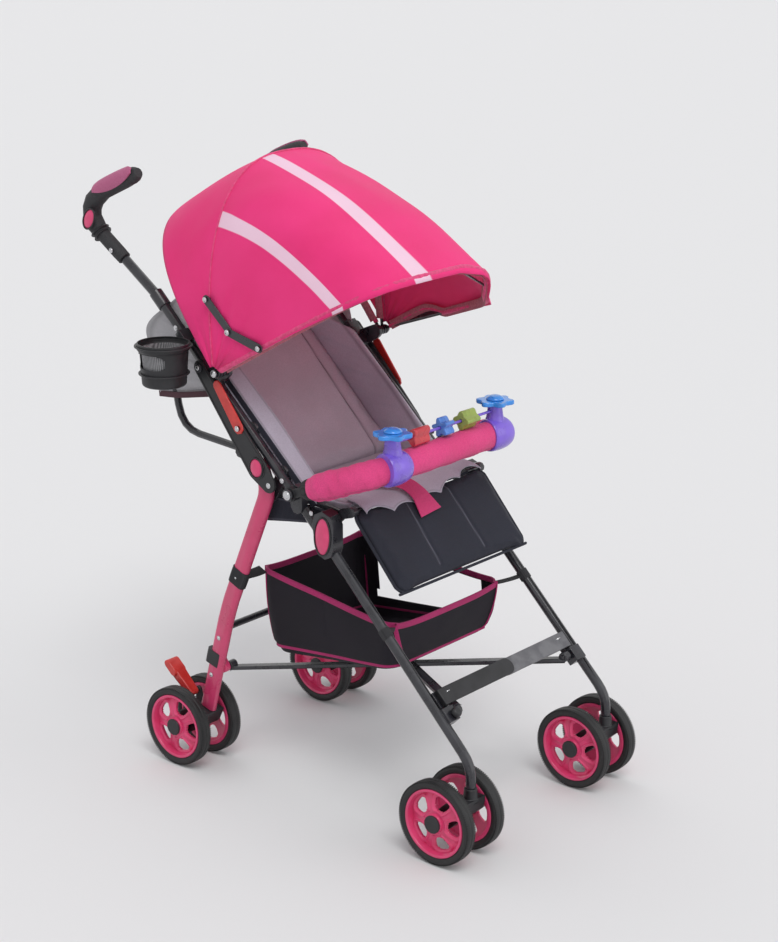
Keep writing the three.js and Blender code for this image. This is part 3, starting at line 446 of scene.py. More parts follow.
def spider_point(level, i, j):
    """The dished disc between hub and lip, raised round its windows on its front."""
    k, a = i / SPOKE_ROWS, 2 * math.pi * j / SECTORS
    r = DISC_INNER + (DISC_OUTER - DISC_INNER) * k
    crown = 0.0062 - 0.0085 * k ** 1.6
    swing = abs(((a * WINDOWS / (2 * math.pi)) % 1) - 0.5) * 2
    fence = math.exp(-(((swing / 0.74) ** 4 + (abs(k - 0.56) / 0.40) ** 4 - 1) / 0.42) ** 2)
    x = crown + 0.0030 * fence * (k > 0.15) if level else crown - 0.0048
    return Vector((x, r * math.cos(a), r * math.sin(a)))


def spider_window(i, j):
    """Whether a cell of the disc lies in one of its rounded windows."""
    k = (i + 0.5) / SPOKE_ROWS
    across = abs(((j + 0.5) * WINDOWS / SECTORS) % 1 - 0.5) * 2
    width = 0.56 - 0.14 * (0.56 - k)
    return 0.25 < k < 0.88 and across < width and (
        (across / width) ** 3 + (abs(k - 0.56) / 0.30) ** 3 < 1)


rim_points, rim_faces = merged(
    pierced(SPOKE_ROWS + 1, SECTORS, spider_point, spider_window),
    turned(soft_corners([
        (0.0535, -0.0105), (0.0606, -0.0105), (0.0606, 0.0105), (0.0582, 0.0112),
        (0.0556, 0.0100), (0.0530, 0.0005), (0.0518, -0.0035)], 0.0012, 3), 72),
    turned(soft_corners([
        (0.0064, -0.0105), (0.0165, -0.0105), (0.0175, 0.0060), (0.0160, 0.0101),
        (0.0064, 0.0105)], 0.0012, 3), 48))
for name, centre in WHEELS:
    outwards = (-1 if "right" in name else 1) * (1 if "outer" in name else -1)
    points = [centre + Vector((v.x * outwards, v.y, v.z)) for v in rim_points]
    rim = made(f"Rim_{name}", (points, rim_faces), moulded_pink, f"wheel_{name}",
               "plastic_pink", [f"rim_{name}"], 50)
    bevelled(rim, 0.0006)

# ---- Main frame ----------------------------------------------------------------
# Two bent steel tubes, painted black, run from the casters up to the hand grips.
# Moulded clamps, collars and joint housings are pressed round them, edges softened.
painted_steel = mottled("painted steel", (28, 4, 0.35, 0.75), (0.018, 0.018, 0.023),
                        (0.034, 0.034, 0.041), (0.24, 0.16), (1400, 2, 0.00006, 0.4),
                        Coat_Weight=0.25)
black_plastic = mottled("black plastic", (40, 4, 0.35, 0.7), (0.010, 0.010, 0.012),
                        (0.022, 0.022, 0.025), (0.38, 0.2), (1100, 2, 0.00012, 0.5))


def softened(node, finish, slot, width=0.0007, smooth=38):
    """A cleaned copy of a CAD node with rounded edges, which stands for that node."""
    work = bmesh.new()
    work.from_mesh(frame["nodes"][node].data)
    bmesh.ops.remove_doubles(work, verts=work.verts, dist=2e-6)
    bmesh.ops.dissolve_limit(
        work, angle_limit=math.radians(1), verts=work.verts, edges=work.edges)
    mesh = bpy.data.meshes.new(node)
    work.to_mesh(mesh)
    work.free()
    piece = bpy.data.objects.new(node.capitalize(), mesh)
    handed(piece, finish, frame["nodes"][node]["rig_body"], slot, [node], smooth)
    bevelled(piece, width, angle=32).use_clamp_overlap = False
    return piece


for _, name in SIDES:
    softened(f"main_frame_{name}", painted_steel, "frame_black")


def unit(x):
    """x, held between 0 and 1."""
    return min(1, max(0, x))


def smooth_path(corners, count):
    """Points spaced along a smooth curve through the corners."""
    ends = [corners[0] * 2 - corners[1], *corners, corners[-1] * 2 - corners[-2]]
    dense = []
    for i in range(1, len(ends) - 2):
        p, a, b, q = ends[i - 1:i + 3]
        for k in range(16):
            t = k / 16
            dense.append(0.5 * (a * 2 + (b - p) * t + (p * 2 - a * 5 + b * 4 - q) * t ** 2
                                + (a * 3 - p - b * 3 + q) * t ** 3))
    dense.append(corners[-1])
    reach = [0]
    for a, b in zip(dense, dense[1:]):
        reach.append(reach[-1] + (b - a).length)
    path, k = [], 0
    for i in range(count):
        want = reach[-1] * i / (count - 1)
        while k < len(dense) - 2 and reach[k + 1] < want:
            k += 1
        share = (want - reach[k]) / max(1e-9, reach[k + 1] - reach[k])
        path.append(dense[k].lerp(dense[k + 1], min(1, share)))
    return path


def swept(path, outline, up, looped=False):
    """A closed solid that follows a path; outline(share) gives its (side, up) corners."""
    vertices = []
    n = len(path)
    for i, here in enumerate(path):
        after = path[(i + 1) % n] if looped else path[min(i + 1, n - 1)]
        before = path[i - 1] if looped else path[max(i - 1, 0)]
        along = (after - before).normalized()
        side = along.cross(up(i / (n - 1)) if callable(up) else Vector(up)).normalized()
        top = side.cross(along)
        ring = outline(i / (n - 1))
        vertices += [here + side * a + top * b for a, b in ring]
    m = len(ring)
    faces = grid_faces(n, m, looped, True)
    if not looped:
        faces += [tuple(reversed(range(m))), tuple((n - 1) * m + j for j in range(m))]
    return vertices, faces


def circle(count):
    """Angles that go once round."""
    return [2 * math.pi * j / count for j in range(count)]


def round_section(radius, count=20):
    """The corners of a circle."""
    return [(radius * math.cos(a), radius * math.sin(a)) for a in circle(count)]


def flat_section(width, thick, corner=None, steps=3):
    """The corners of a strap's section with rounded edges."""
    w, t = width / 2, thick / 2
    corner = corner or thick * 0.45
    return [tuple(p) for p in soft_corners([(-w, -t), (w, -t), (w, t), (-w, t)], corner, steps)]


# ---- Rivets --------------------------------------------------------------------
# Bright domed rivet heads on small washers hold the joints; one tree of geometry
# nodes sets a head on each point, aimed and sized by the point's own values.
bright_steel = mottled("bright steel", (260, 4, 0.35, 0.7), (0.60, 0.60, 0.62),
                       (0.60, 0.60, 0.62), (0.18, 0.22), (500, 3, 0.00004, 0.3), Metallic=1.0)


def rivet_tree():
    """Geometry nodes: a dome on a washer at every point."""
    t, sizes = size_tree("rivet heads", {
        "Dome height": ("Float", 0.5), "Washer width": ("Float", 1.3)})
    ball = t.node("GeometryNodeMeshUVSphere", inputs={"Segments": 20, "Rings": 10, "Radius": 1.0})
    flat = t.node("ShaderNodeCombineXYZ", inputs={"X": 1.0, "Y": 1.0, "Z": sizes["Dome height"]})
    dome = t.node("GeometryNodeTransform", inputs={"Geometry": ball, "Scale": flat})
    washer = t.node("GeometryNodeMeshCylinder", inputs={
        "Vertices": 28, "Radius": sizes["Washer width"], "Depth": 0.24})
    aim, size = (t.node("GeometryNodeInputNamedAttribute", {"data_type": kind}, {"Name": title})
                 for kind, title in (("FLOAT_VECTOR", "aim"), ("FLOAT", "size")))
    pointing = t.node("FunctionNodeAlignRotationToVector", {"axis": "Z"}, {"Vector": aim})
    copies = t.node("GeometryNodeInstanceOnPoints", inputs={
        "Points": sizes["Geometry"], "Instance": together(t, (dome, washer)),
        "Rotation": pointing, "Scale": size})
    return real_group(t, copies, bright_steel)


heads = rivet_tree()


def riveted(name, body, rows):
    """Rivet heads on one body, from rows of drawing point, direction and radius."""
    points = raw_mesh(name, [at(*spot) for spot, _, _ in rows], [])
    aims = points.attributes.new("aim", "FLOAT_VECTOR", "POINT")
    for i, (_, aim, _) in enumerate(rows):
        aims.data[i].vector = Vector(aim).normalized()
    points.attributes.new("size", "FLOAT", "POINT")
    points.attributes["size"].data.foreach_set("value", [r / 1000 for _, _, r in rows])
    piece = bpy.data.objects.new(name, grown(name, heads, points))
    return handed(piece, bright_steel, body, "rivet_steel")


for side, name in SIDES:
    for title, body, rows in (
        ("Frame_rivets", "frame", [
            (230.8, 197, 760, 5.0), (201.2, 318, 818, 3.6), (204.6, 64, 588, 3.4),
            (207.8, -6, 545, 3.2), (225.8, 33, 573, 6.2), (218.6, 459, 941, 3.6)]),
        ("Link_rivets", "side_links", [
            (209.9, 91, 575, 3.8), (217.2, 156.9, 666.5, 3.8), (213.6, 253.4, 758.1, 4.2)]),
        ("Leg_rivets", "rear_legs", [
            (204.2, 227, 258, 3.2), (204.2, 249, 181, 3.2), (204.2, 181, 384, 2.4)]),
    ):
        riveted(f"{title}_{name}", body,
                [((side * x, y, z), (side, 0, 0), radius) for x, y, z, radius in rows])
LOWER = Vector((0, -0.70834, 0.705872))  # square to the lower frame tubes
riveted("Brace_rivets", "frame", [
    ((-150, -268, 267.8), LOWER, 4.2), ((-7, -268, 267.8), LOWER, 4.2),
    ((150, -264, 262.8), LOWER, 4.2)])

# ---- Bright pink caps ----------------------------------------------------------
# Snap-in oval caps sit on the seat housings and the grips, and rounder ones cover the
# leg pivots. They are shallow moulded domes with a thin black surround.
CAP_RINGS, CAP_SIDES = 8, 40


def domed_cap(a, b, height):
    """A low oval dome, its foot on the plane x = 0 and its crown towards +X."""
    vertices = [Vector((height, 0, 0))]
    for i in range(1, CAP_RINGS + 1):
        k = i / CAP_RINGS
        x = height * (1 - k ** 3.2)
        vertices += [Vector((x, a * k * math.cos(t), b * k * math.sin(t)))
                     for t in circle(CAP_SIDES)]
    vertices += [Vector((-0.001, a * math.cos(t), b * math.sin(t))) for t in circle(CAP_SIDES)]
    faces = [tuple(1 + i for i in face)
             for face in grid_faces(CAP_RINGS + 1, CAP_SIDES, False, True)]
    faces += [(0, 1 + (j + 1) % CAP_SIDES, 1 + j) for j in range(CAP_SIDES)]
    faces.append(tuple(1 + CAP_RINGS * CAP_SIDES + j for j in range(CAP_SIDES)))
    return vertices, faces


for side, name in SIDES:
    for title, body, spot, a, b, lean, height in [
        ("Housing_cap", "frame", (207.2, -31, 508), 0.0165, 0.0325, 0.06, 0.0050),
        ("Link_cap", "side_links", (209.8, 119.4, 601.2), 0.0140, 0.0165, 0.0, 0.0045),
        ("Grip_badge", "frame", (228.2, 503, 994), 0.0115, 0.0190, 0.55, 0.0030),
    ]:
        spin = Matrix.Rotation(lean, 3, "X")
        centre = at(side * spot[0], spot[1], spot[2])
        points, faces = domed_cap(a, b, height)
        points = [centre + spin @ Vector((v.x * side, v.y, v.z)) for v in points]
        made(f"{title}_{name}", (points, faces), moulded_pink, body, "plastic_pink", (), 60)
        ring = [centre + spin @ Vector((0.0004 * side, (a + 0.0014) * math.cos(t),
                                        (b + 0.0014) * math.sin(t))) for t in circle(48)]
        made(f"{title}_surround_{name}",
             swept(ring, lambda k: round_section(0.0016, 10), (1, 0, 0), True),
             black_plastic, body, "plastic_black")

# ---- Hand grips ----------------------------------------------------------------
# Hooked black foam grips with a stepped lower sleeve; a paler pink pad is moulded
# over the top where the palm rests.
# The foam's black follows the same noise as its pitted bump, darker in the pits: painted shade.
foam = mottled("grip foam", (700, 3, 0.3, 0.7), (0.014, 0.014, 0.016), (0.036, 0.036, 0.04),
               (0.7, 0), (700, 3, 0.0004, 0.7))
# The pad's pink follows the same noise as its bump too, darker in the pits: painted shade.
pink_foam = mottled("pink grip pad", (600, 3, 0.3, 0.7), (0.40, 0.085, 0.19),
                    (0.49, 0.125, 0.25), (0.6, 0), (600, 3, 0.0003, 0.6))
GRIP_LINE = [(12.1, 441.5, 926.4), (16, 472, 951), (19, 498, 973), (21, 513, 997),
             (22, 507, 1021), (23, 484, 1043), (23, 440, 1064), (23, 386, 1086)]
GRIP_INNER = 0.0166


def pad_section(share, side):
    """A thin crescent over the top and outer face of the grip."""
    full = 0.0021 * math.sin(math.pi * unit(share)) ** 0.35
    span = 62 * math.sin(math.pi * min(0.98, max(0.02, share))) ** 0.4
    arc = [math.radians(span * d / 6) for d in range(-6, 7)]
    ring = [(GRIP_INNER + 0.0006 + full * math.cos(a * 0.95) ** 0.5, a) for a in arc]
    ring += [(GRIP_INNER - 0.002, a) for a in reversed(arc)]
    return [(-r * math.sin(a + 1.05 * side), r * math.cos(a + 1.05 * side)) for r, a in ring]


for side, name in SIDES:
    softened(f"grip_{name}", foam, "grip_foam", 0.0008, 50)
    line = smooth_path([at(side * (190 + out), y, z) for out, y, z in GRIP_LINE], 65)
    made(f"Grip_pad_{name}", swept(line[37:64], lambda s: pad_section(s, side), (0, 0, 1)),
         pink_foam, "frame", "pink_fabric", (), 50)
    for k, radius in ((15, 0.0182), (17, 0.0186), (60, 0.0150)):
        path = [line[k] + (line[k + 1] - line[k]).normalized() * d for d in (-0.0016, 0, 0.0016)]
        made(f"Grip_ridge_{name}_{k}", swept(
            path, lambda s: round_section(radius - 0.0012 * abs(s * 2 - 1), 28), (1, 0, 0)),
            black_plastic, "frame", "plastic_black")

# ---- Folding side links and rear legs ------------------------------------------
# A black plastic link on each side joins the main tube to a flat pink rear leg; the
# leg ends in the hub block of the rear wheels, and a webbing wrap is tied round it.
pink_paint = mottled("pink painted steel", (22, 4, 0.3, 0.75), (0.56, 0.040, 0.130),
                     (0.65, 0.055, 0.165), (0.25, 0.15), (1200, 2, 0.00006, 0.4),
                     Coat_Weight=0.25)
red_plastic = mottled("red plastic", (60, 3, 0.3, 0.7), (0.54, 0.026, 0.022),
                      (0.64, 0.040, 0.034), (0.30, 0.12), (1000, 2, 0.00012, 0.4),
                      Coat_Weight=0.2)
webbing = Finish("black webbing", (0.018, 0.018, 0.020), 0.8)
across, along, up = webbing.axes()
rib = ((along + up) * 2600).sine() * 0.5 + (across * 2600).sine() * 0.5
# The webbing's colour follows its woven ribs, darker in the grooves and paler on the tops: painted
# shade.
webbing.put("Base Color", webbing.mix(
    rib.between(-0.6, 0.8), (0.010, 0.010, 0.012), (0.034, 0.034, 0.038)))
webbing.bump(rib, 0.0003, 0.6)
UPPER_PIN, LEG_PIN, LINK_FOOT = (253.4, 758.1), (119.4, 601.2), (93, 577)


def hull_outline(discs, steps=64):
    """The outline of a belt pulled round discs given as (y, z, radius) rows."""
    points = []
    for a in circle(steps):
        away = Vector((math.cos(a), math.sin(a)))
        y, z, r = max(discs, key=lambda d: d[0] * away.x + d[1] * away.y + d[2])
        points.append(Vector((y, z)) + away * r)
    return points


def plate(outline, x0, x1):
    """A flat plate cut to a (y, z) outline, from x0 to x1."""
    n = len(outline)
    points = [at(x, p.x, p.y) for x in (x0, x1) for p in outline]
    ends = [tuple(range(n)), tuple(range(2 * n - 1, n - 1, -1))]
    return points, grid_faces(2, n, False, True) + ends


for side, name in SIDES:
    arm = hull_outline([(*UPPER_PIN, 13), (*LEG_PIN, 23)])
    foot = hull_outline([(*LEG_PIN, 23), (*LINK_FOOT, 16)])
    inner, outer = side * 204.6, side * 209.5
    link = made(f"Side_link_{name}",
                merged(plate(arm, inner, outer), plate(foot, inner + 0.05, outer - 0.05)),
                black_plastic, "side_links", "plastic_black", [f"side_link_{name}"])
    bevelled(link, 0.0010, 3)
    for node, finish, slot, width, smooth in (
        ("fold_lever", red_plastic, "red_plastic", 0.0012, 38),
        ("rear_leg", pink_paint, "leg_pink", 0.0014, 50),
        ("rear_hub", black_plastic, "plastic_black", 0.0020, 38),
        ("brake_pedal", red_plastic, "red_plastic", 0.0016, 38),
        ("caster", black_plastic, "plastic_black", 0.0012, 38),
    ):
        softened(f"{node}_{name}", finish, slot, width, smooth)

    # A raised rib follows the link's edges, as its mould leaves it.
    inner_edge = hull_outline([(*UPPER_PIN, 9.5), (*LEG_PIN, 19.5)], 80)
    made(f"Link_rib_{name}", swept([at(side * 209.8, p.x, p.y) for p in inner_edge],
                                   lambda s: flat_section(0.0022, 0.0018), (1, 0, 0), True),
         black_plastic, "side_links", "plastic_black")

    for title, low, high, grow, finish, slot in [
        ("Leg_wrap", (172.4, 400), (185.4, 370), 0.0013, webbing, "seat_black"),
        ("Leg_sleeve", (240.6, 228.4), (248.0, 200.8), 0.0010, black_plastic, "plastic_black"),
    ]:
        path = [at(side * 196, *low).lerp(at(side * 196, *high), k / 6) for k in range(7)]

        def leg_section(share):
            """The leg's flat oval with this much wrapped round it."""
            pinch = grow * (0.75 + 0.25 * math.sin(math.pi * share))
            return flat_section(0.015 + 2 * pinch, 0.034 + 2 * pinch, 0.0078, 6)

        made(f"{title}_{name}", swept(path, leg_section, (0, -0.92 * side, -0.39 * side)),
             finish, "rear_legs", slot, (), 50)

# ---- Crossbars and braces ------------------------------------------------------
# A thin bar joins the rear legs, two flat bars cross under the basket on one rivet,
# and a two-part flat brace with a rounded lap ties the front lugs together.
# The left half of the front brace is the same black plastic as the right half; this paler grey copy
# of it is a painted highlight.
highlit_black_plastic = mottled("grey plastic", (50, 3, 0.3, 0.7), (0.10, 0.10, 0.11),
                       (0.16, 0.16, 0.17), (0.40, 0), (1100, 2, 0.00012, 0.5))
for node, finish, slot, width in (
    ("rear_crossbar", painted_steel, "frame_black", 0.0005),
    ("cross_brace_a", painted_steel, "frame_black", 0.0008),
    ("cross_brace_b", painted_steel, "frame_black", 0.0008),
    ("front_brace_right", black_plastic, "plastic_black", 0.0012),
    ("front_brace_left", highlit_black_plastic, "plastic_black", 0.0012),
):
    softened(node, finish, slot, width)


def button(name, profile, rounding, steps, count, spot, turn, finish, body, slot):
    """A small turned part: its foot on this point, its axis X turned by this matrix."""
    points, faces = turned(soft_corners(profile, rounding, steps), count)
    made(name, ([spot + turn @ v for v in points], faces), finish, body, slot)


UPRIGHT = Matrix.Rotation(math.radians(-90), 3, "Y")
button("Brace_knob", [(0.0001, 0), (0.0095, 0), (0.0088, 0.006), (0.006, 0.0085), (0.0001, 0.009)],
       0.0012, 2, 32, at(-176, -298, 250), LOWER.to_track_quat("Z", "X").to_matrix() @ UPRIGHT,
       black_plastic, "frame", "plastic_black")
brace_face = LOWER.cross(Vector((1, 0, 0)))
brace_face *= math.copysign(1, brace_face.z)
for name, end, inset in (("right", 0, 0.022), ("left", 1, -0.022)):
    corners = [Vector(corner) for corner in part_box(f"front_brace_{name}")]
    spot = (corners[0] + corners[1]) / 2 + brace_face * 0.0050
    spot.x = corners[end].x + inset
    spot = (spot - at(0, 0, 0)) * 1000
    riveted(f"Brace_rivet_{name}", "frame", [(spot, brace_face, 5.0)])

# ---- Canopy --------------------------------------------------------------------
# One sheet of pink polyester is pulled over three bows, from the rear one to the front one. Two
# pale stripes cross the right side of its front half.
PIVOT_Y, PIVOT_Z = 197, 760
CLOTH_HALF, CLOTH_OFF_BOW = 229.2, 4.6
# How far the left half of the front bow hangs, in degrees, and how far its shoulder is
# drawn towards the pivot and towards the seat, in metres.
CANOPY_LEAN, SHOULDER_DRAW, SHOULDER_INWARDS = 9.5, 0.060, 0.028
# Each bow's angle, height, squareness and half width.
BOWS = {"rear": (52.7, 326, 3.0, 211), "mid": (84.8, 353, 2.55, 217.6),
        "front": (150.8, 399, 5.5, 224.2)}
(REAR, *_), (MID, *_), (FRONT, *_) = BOWS.values()


def on_bow(angle, half, height, power, t):
    """A point of a bow: t runs from 0 at the right pivot to pi at the left one."""
    c, s = math.cos(t), math.sin(t)
    x = -math.copysign(abs(c) ** (2 / power), c) * half
    v = abs(s) ** (2 / power) * height
    a = math.radians(angle)
    return at(x, PIVOT_Y + v * math.cos(a), PIVOT_Z + v * math.sin(a))


def bows_beside(angle):
    """The bows before and behind an angle, and how far it lies from one to the other."""
    a, b = (BOWS["rear"], BOWS["mid"]) if angle < MID else (BOWS["mid"], BOWS["front"])
    return a, b, unit((angle - a[0]) / (b[0] - a[0]))


def cloth_point(angle, t, proud):
    """A point of the cloth between two bows, a little hollow between them."""
    (a0, ha, pa, _), (b0, hb, pb, _), u = bows_beside(angle)
    span = math.radians(b0 - a0)
    ra, rb = ha + CLOTH_OFF_BOW, hb + CLOTH_OFF_BOW
    chord = math.sin(span) / (math.sin(span * (1 - u)) / ra + math.sin(span * u) / rb)
    left = max(0, -math.cos(t)) ** 0.5 if a0 == MID else 0
    height = chord + (ra + (rb - ra) * u - chord) * (0.38 - 0.66 * left) + proud
    return on_bow(angle, CLOTH_HALF + min(proud, 0.6), height, pa + (pb - pa) * u, t)


def eased(x):
    """A soft step from 0 to 1."""
    x = unit(x)
    return x * x * (3 - 2 * x)


def skewed(v):
    """The front bow racks a little, and its left shoulder is drawn in and hangs lower."""
    pivot = at(0, PIVOT_Y, PIVOT_Z)
    x, y, z = v - pivot
    reach, angle = math.hypot(y, z), math.degrees(math.atan2(z, y))
    ahead = (angle - MID) / (FRONT - MID)
    lean = eased(ahead) * eased(x / 0.20) * eased((reach - 0.09) / 0.11)
    a = math.radians(angle + CANOPY_LEAN * lean)
    _, height, _, half = BOWS["front"]
    across = max(0, x * 1000 / half) * reach * 1000 / height
    draw = unit(ahead) * eased((across - 0.24) / 0.52)
    reach -= SHOULDER_DRAW * draw
    return pivot + Vector((x - SHOULDER_INWARDS * draw, reach * math.cos(a),
                           reach * math.sin(a)))


def clear_of_pivot(height, power, gap):
    """The t at which a bow's curve is this far above its pivot."""
    return math.asin((gap / height) ** (power / 2))


canopy_cloth = Finish("canopy polyester", (0.88, 0.038, 0.215), 0.62, Sheen_Weight=0.08,
                      Specular_IOR_Level=0.2)
girth, depth, _ = canopy_cloth.axes("UV")
side_x, side_y, side_z = canopy_cloth.axes()
weave = ((side_x + side_z) * 5200).sine() * 0.5 + ((side_y - side_z) * 5200).sine() * 0.5
shade = canopy_cloth.noise(7, 4).between(0.25, 0.8)
front_share = (depth - 0.327) * 1.486
bands = [(girth - middle).size().between(half_width + 0.0016, half_width - 0.0016)
         for middle, half_width in ((0.449 + front_share * 0.019, 0.0165),
                                    (0.2345 - front_share * 0.069, 0.0175))]
stripe = (bands[0] + bands[1]) * depth.between(0.329, 0.334)
pink, pale = (canopy_cloth.mix(shade, *tones) for tones in (
    ((0.84, 0.030, 0.190), (0.93, 0.044, 0.240)), ((0.90, 0.60, 0.74), (0.95, 0.66, 0.80))))
canopy_cloth.put("Base Color", canopy_cloth.mix(stripe, pink, pale))
canopy_cloth.put("Roughness", 0.56 + shade * 0.16)
stripe_edge = stripe * (1 - stripe) * 4
canopy_cloth.bump(
    weave * 0.4 + canopy_cloth.noise(60, 4) * 1.4 - stripe_edge * 0.8, 0.0005, 0.6)
# The lining's pink is raised to about the outer cloth's brightness, so the inside looks lit as by
# daylight through the thin cloth: partly its own colour, partly painted light.
lining = mottled("canopy lining", (8, 4, 0.25, 0.8), (0.80, 0.040, 0.17), (0.92, 0.055, 0.215),
                 (0.7, 0), (60, 4, 0.0006, 0.5), Sheen_Weight=0.08, Specular_IOR_Level=0.2)


def settled(piece):
    """Turns a piece's modifiers into its own plain mesh."""
    graph = bpy.context.evaluated_depsgraph_get()
    piece.data = bpy.data.meshes.new_from_object(piece.evaluated_get(graph))
    piece.modifiers.clear()
    return piece


def seam_marks(mesh, values):
    """Keeps where a cloth's sewn lines are as its seam attribute."""
    mesh.attributes.new("seam", "FLOAT", "POINT").data.foreach_set(
        "value", np.asarray(values, np.float32))


def sheet_piece(mesh, thick, finish, body, slot, nodes=(), inside=None):
    """A piece of cloth of this thickness, and its area; inside is its lining."""
    area = sum(face.area for face in mesh.polygons)
    piece = bpy.data.objects.new(mesh.name, mesh)
    handed(piece, finish, body, slot, nodes, 60)
    wall = piece.modifiers.new("thickness", "SOLIDIFY")
    wall.thickness, wall.offset = thick, 0
    if inside:
        mesh.materials.append(inside.material)
        wall.material_offset = 1
    return settled(piece), area


ACROSS, ALONG = 160, 66
REAR_EDGE, FRONT_EDGE = REAR - 2, FRONT + 1.5


def canopy_fold(u, v):
    """Slight tension creases and slack, in millimetres: u along, v across."""
    off_middle = abs(v - 0.5) * 2
    mid_share = (MID - REAR_EDGE) / (FRONT_EDGE - REAR_EDGE)
    calm = 1 - min(1, sum(math.exp(-((u - seam) / 0.05) ** 2) for seam in (mid_share, 1, 0)))
    crease = 0.54 * math.sin(v * 46 + 5 * math.sin(u * 7)) * math.sin(math.pi * off_middle) ** 2
    crease += 1.6 * math.sin(u * 31 + v * 9) * off_middle ** 6
    crease += 0.8 * math.sin(u * 19 - v * 27 + 1.3)
    left = max(0, (v - 0.5) * 2)
    return calm * (crease - 3.5 * math.sin(math.pi * left) * math.sin(math.pi * u))


vertices, uvs = [], []
for i in range(ALONG + 1):
    u = i / ALONG
    angle = REAR_EDGE + (FRONT_EDGE - REAR_EDGE) * u
    (_, ha, pa, _), (_, hb, pb, _), share = bows_beside(angle)
    start = clear_of_pivot(ha + (hb - ha) * share, pa + (pb - pa) * share, 13)
    for j in range(ACROSS + 1):
        v = j / ACROSS
        t = start + v * (math.pi - 2 * start)
        vertices.append(skewed(cloth_point(angle, t, 0.4 + canopy_fold(u, v))))
        uvs.append((t / math.pi, u))
columns = ACROSS + 1
flat_mesh = raw_mesh("Canopy_sheet", vertices, [
    face[:1] + face[:0:-1] for face in grid_faces(ALONG + 1, columns)])
layer = flat_mesh.uv_layers.new(name="panel")
for loop in flat_mesh.loops:
    layer.data[loop.index].uv = uvs[loop.vertex_index]
canopy, cloth_area = sheet_piece(flat_mesh, 0.0011, canopy_cloth, None, "canopy_fabric",
                                 ["canopy_cloth"], lining)

# Hems that the bows run through: a rolled rim in front, a sleeve over the middle bow
# and a binding behind, each a little proud of the sheet. Inside, a paler tape is sewn
# along each bow from pivot to pivot.
# The hem's pink follows the same noise as its puckered bump, darker in the hollows and paler on the
# crests: painted shade.
hem_cloth = mottled("canopy hem", (160, 3, 0.3, 0.7), (0.62, 0.034, 0.15), (0.80, 0.055, 0.22),
                    (0.66, 0), (160, 3, 0.0009, 0.6), Sheen_Weight=0.25)
# The tape's tone follows the same noise as its ridged bump, darker between the ridges: painted
# shade.
tape_cloth = mottled("bow tape", (240, 3, 0.3, 0.7), (0.38, 0.11, 0.15), (0.47, 0.16, 0.20),
                     (0.75, 0), (240, 3, 0.0004, 0.6))


def bow_line(bow, half, height, gap, steps):
    """Points along a bow, from clear of its right pivot to clear of its left one."""
    angle, own_height, power, _ = BOWS[bow]
    first = clear_of_pivot(own_height, power, gap)
    return [on_bow(angle, half, height, power, first + (math.pi - 2 * first) * k / steps)
            for k in range(steps + 1)]


for title, bow, body, size, half, grow, tape_half, tape_height in [
    ("Canopy_rim", "front", "canopy_front", (0.0062, 0.0050), 225.2, 0, 219.5, 393),
    ("Canopy_middle_seam", "mid", "canopy_mid", (0.0022, 0.0018), CLOTH_HALF + 1.0, 5.4, 213, 348),
    ("Canopy_rear_hem", "rear", "frame", (0.0050, 0.0040), 212, 0, 207, 321),
]:
    a = math.radians(BOWS[bow][0])
    lean_axis = Vector((0, -math.sin(a), math.cos(a)))
    line = bow_line(bow, half, BOWS[bow][1] + grow, 16, 400)[::4]

    def hem_section(share):
        """A soft oval that puckers a little along its stitching."""
        gather = 1 + 0.05 * math.sin(share * 420) + 0.04 * math.sin(share * 173)
        return [(size[0] * gather * math.cos(a), size[1] * gather * math.sin(a))
                for a in circle(14)]

    path = [skewed(v) for v in smooth_path(line, 150)]
    made(title, swept(path, hem_section, lean_axis), hem_cloth, body,
                     "canopy_fabric", (), 70)
    line = [skewed(v) for v in bow_line(bow, tape_half, tape_height, 22, 120)]
    made(f"{title}_inner_tape", swept(
        smooth_path(line, 120), lambda s: flat_section(0.0008, 0.017, 0.0003, 1), lean_axis),
        tape_cloth, body, "canopy_fabric", (), 50)


def length_of(line):
    """The length of a line of points."""
    return sum((a - b).length for a, b in zip(line, line[1:]))


arc_length = length_of(vertices[ACROSS // 2::columns])
girth_length = max(length_of(vertices[i * columns:(i + 1) * columns])
                   for i in (0, ALONG // 2, ALONG))
rear_top, front_top = (on_bow(angle, half, height, power, math.pi / 2)
                       for angle, height, power, half in (BOWS["rear"], BOWS["front"]))
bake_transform(canopy)
# Each point's share of the bows' turn follows its angle round their pivot; it is worked out here
# and nothing uses it.
MID_TURN, FRONT_TURN = 26, 84
pivot = at(0, PIVOT_Y, PIVOT_Z)
turn = [math.degrees(math.atan2(v.co.z - pivot.z, v.co.y - pivot.y)) for v in canopy.data.vertices]
share = np.interp(turn, [REAR, MID, FRONT], [0, MID_TURN / FRONT_TURN, 1])

# The stays: two links a side, joined at an elbow between the middle and front bows.
STAY_REACH = 130


def stay_foot(angle):
    """Where a stay is riveted to the bow at this angle, as (y, z)."""
    a = math.radians(angle)
    return Vector((PIVOT_Y + STAY_REACH * math.cos(a), PIVOT_Z + STAY_REACH * math.sin(a)))


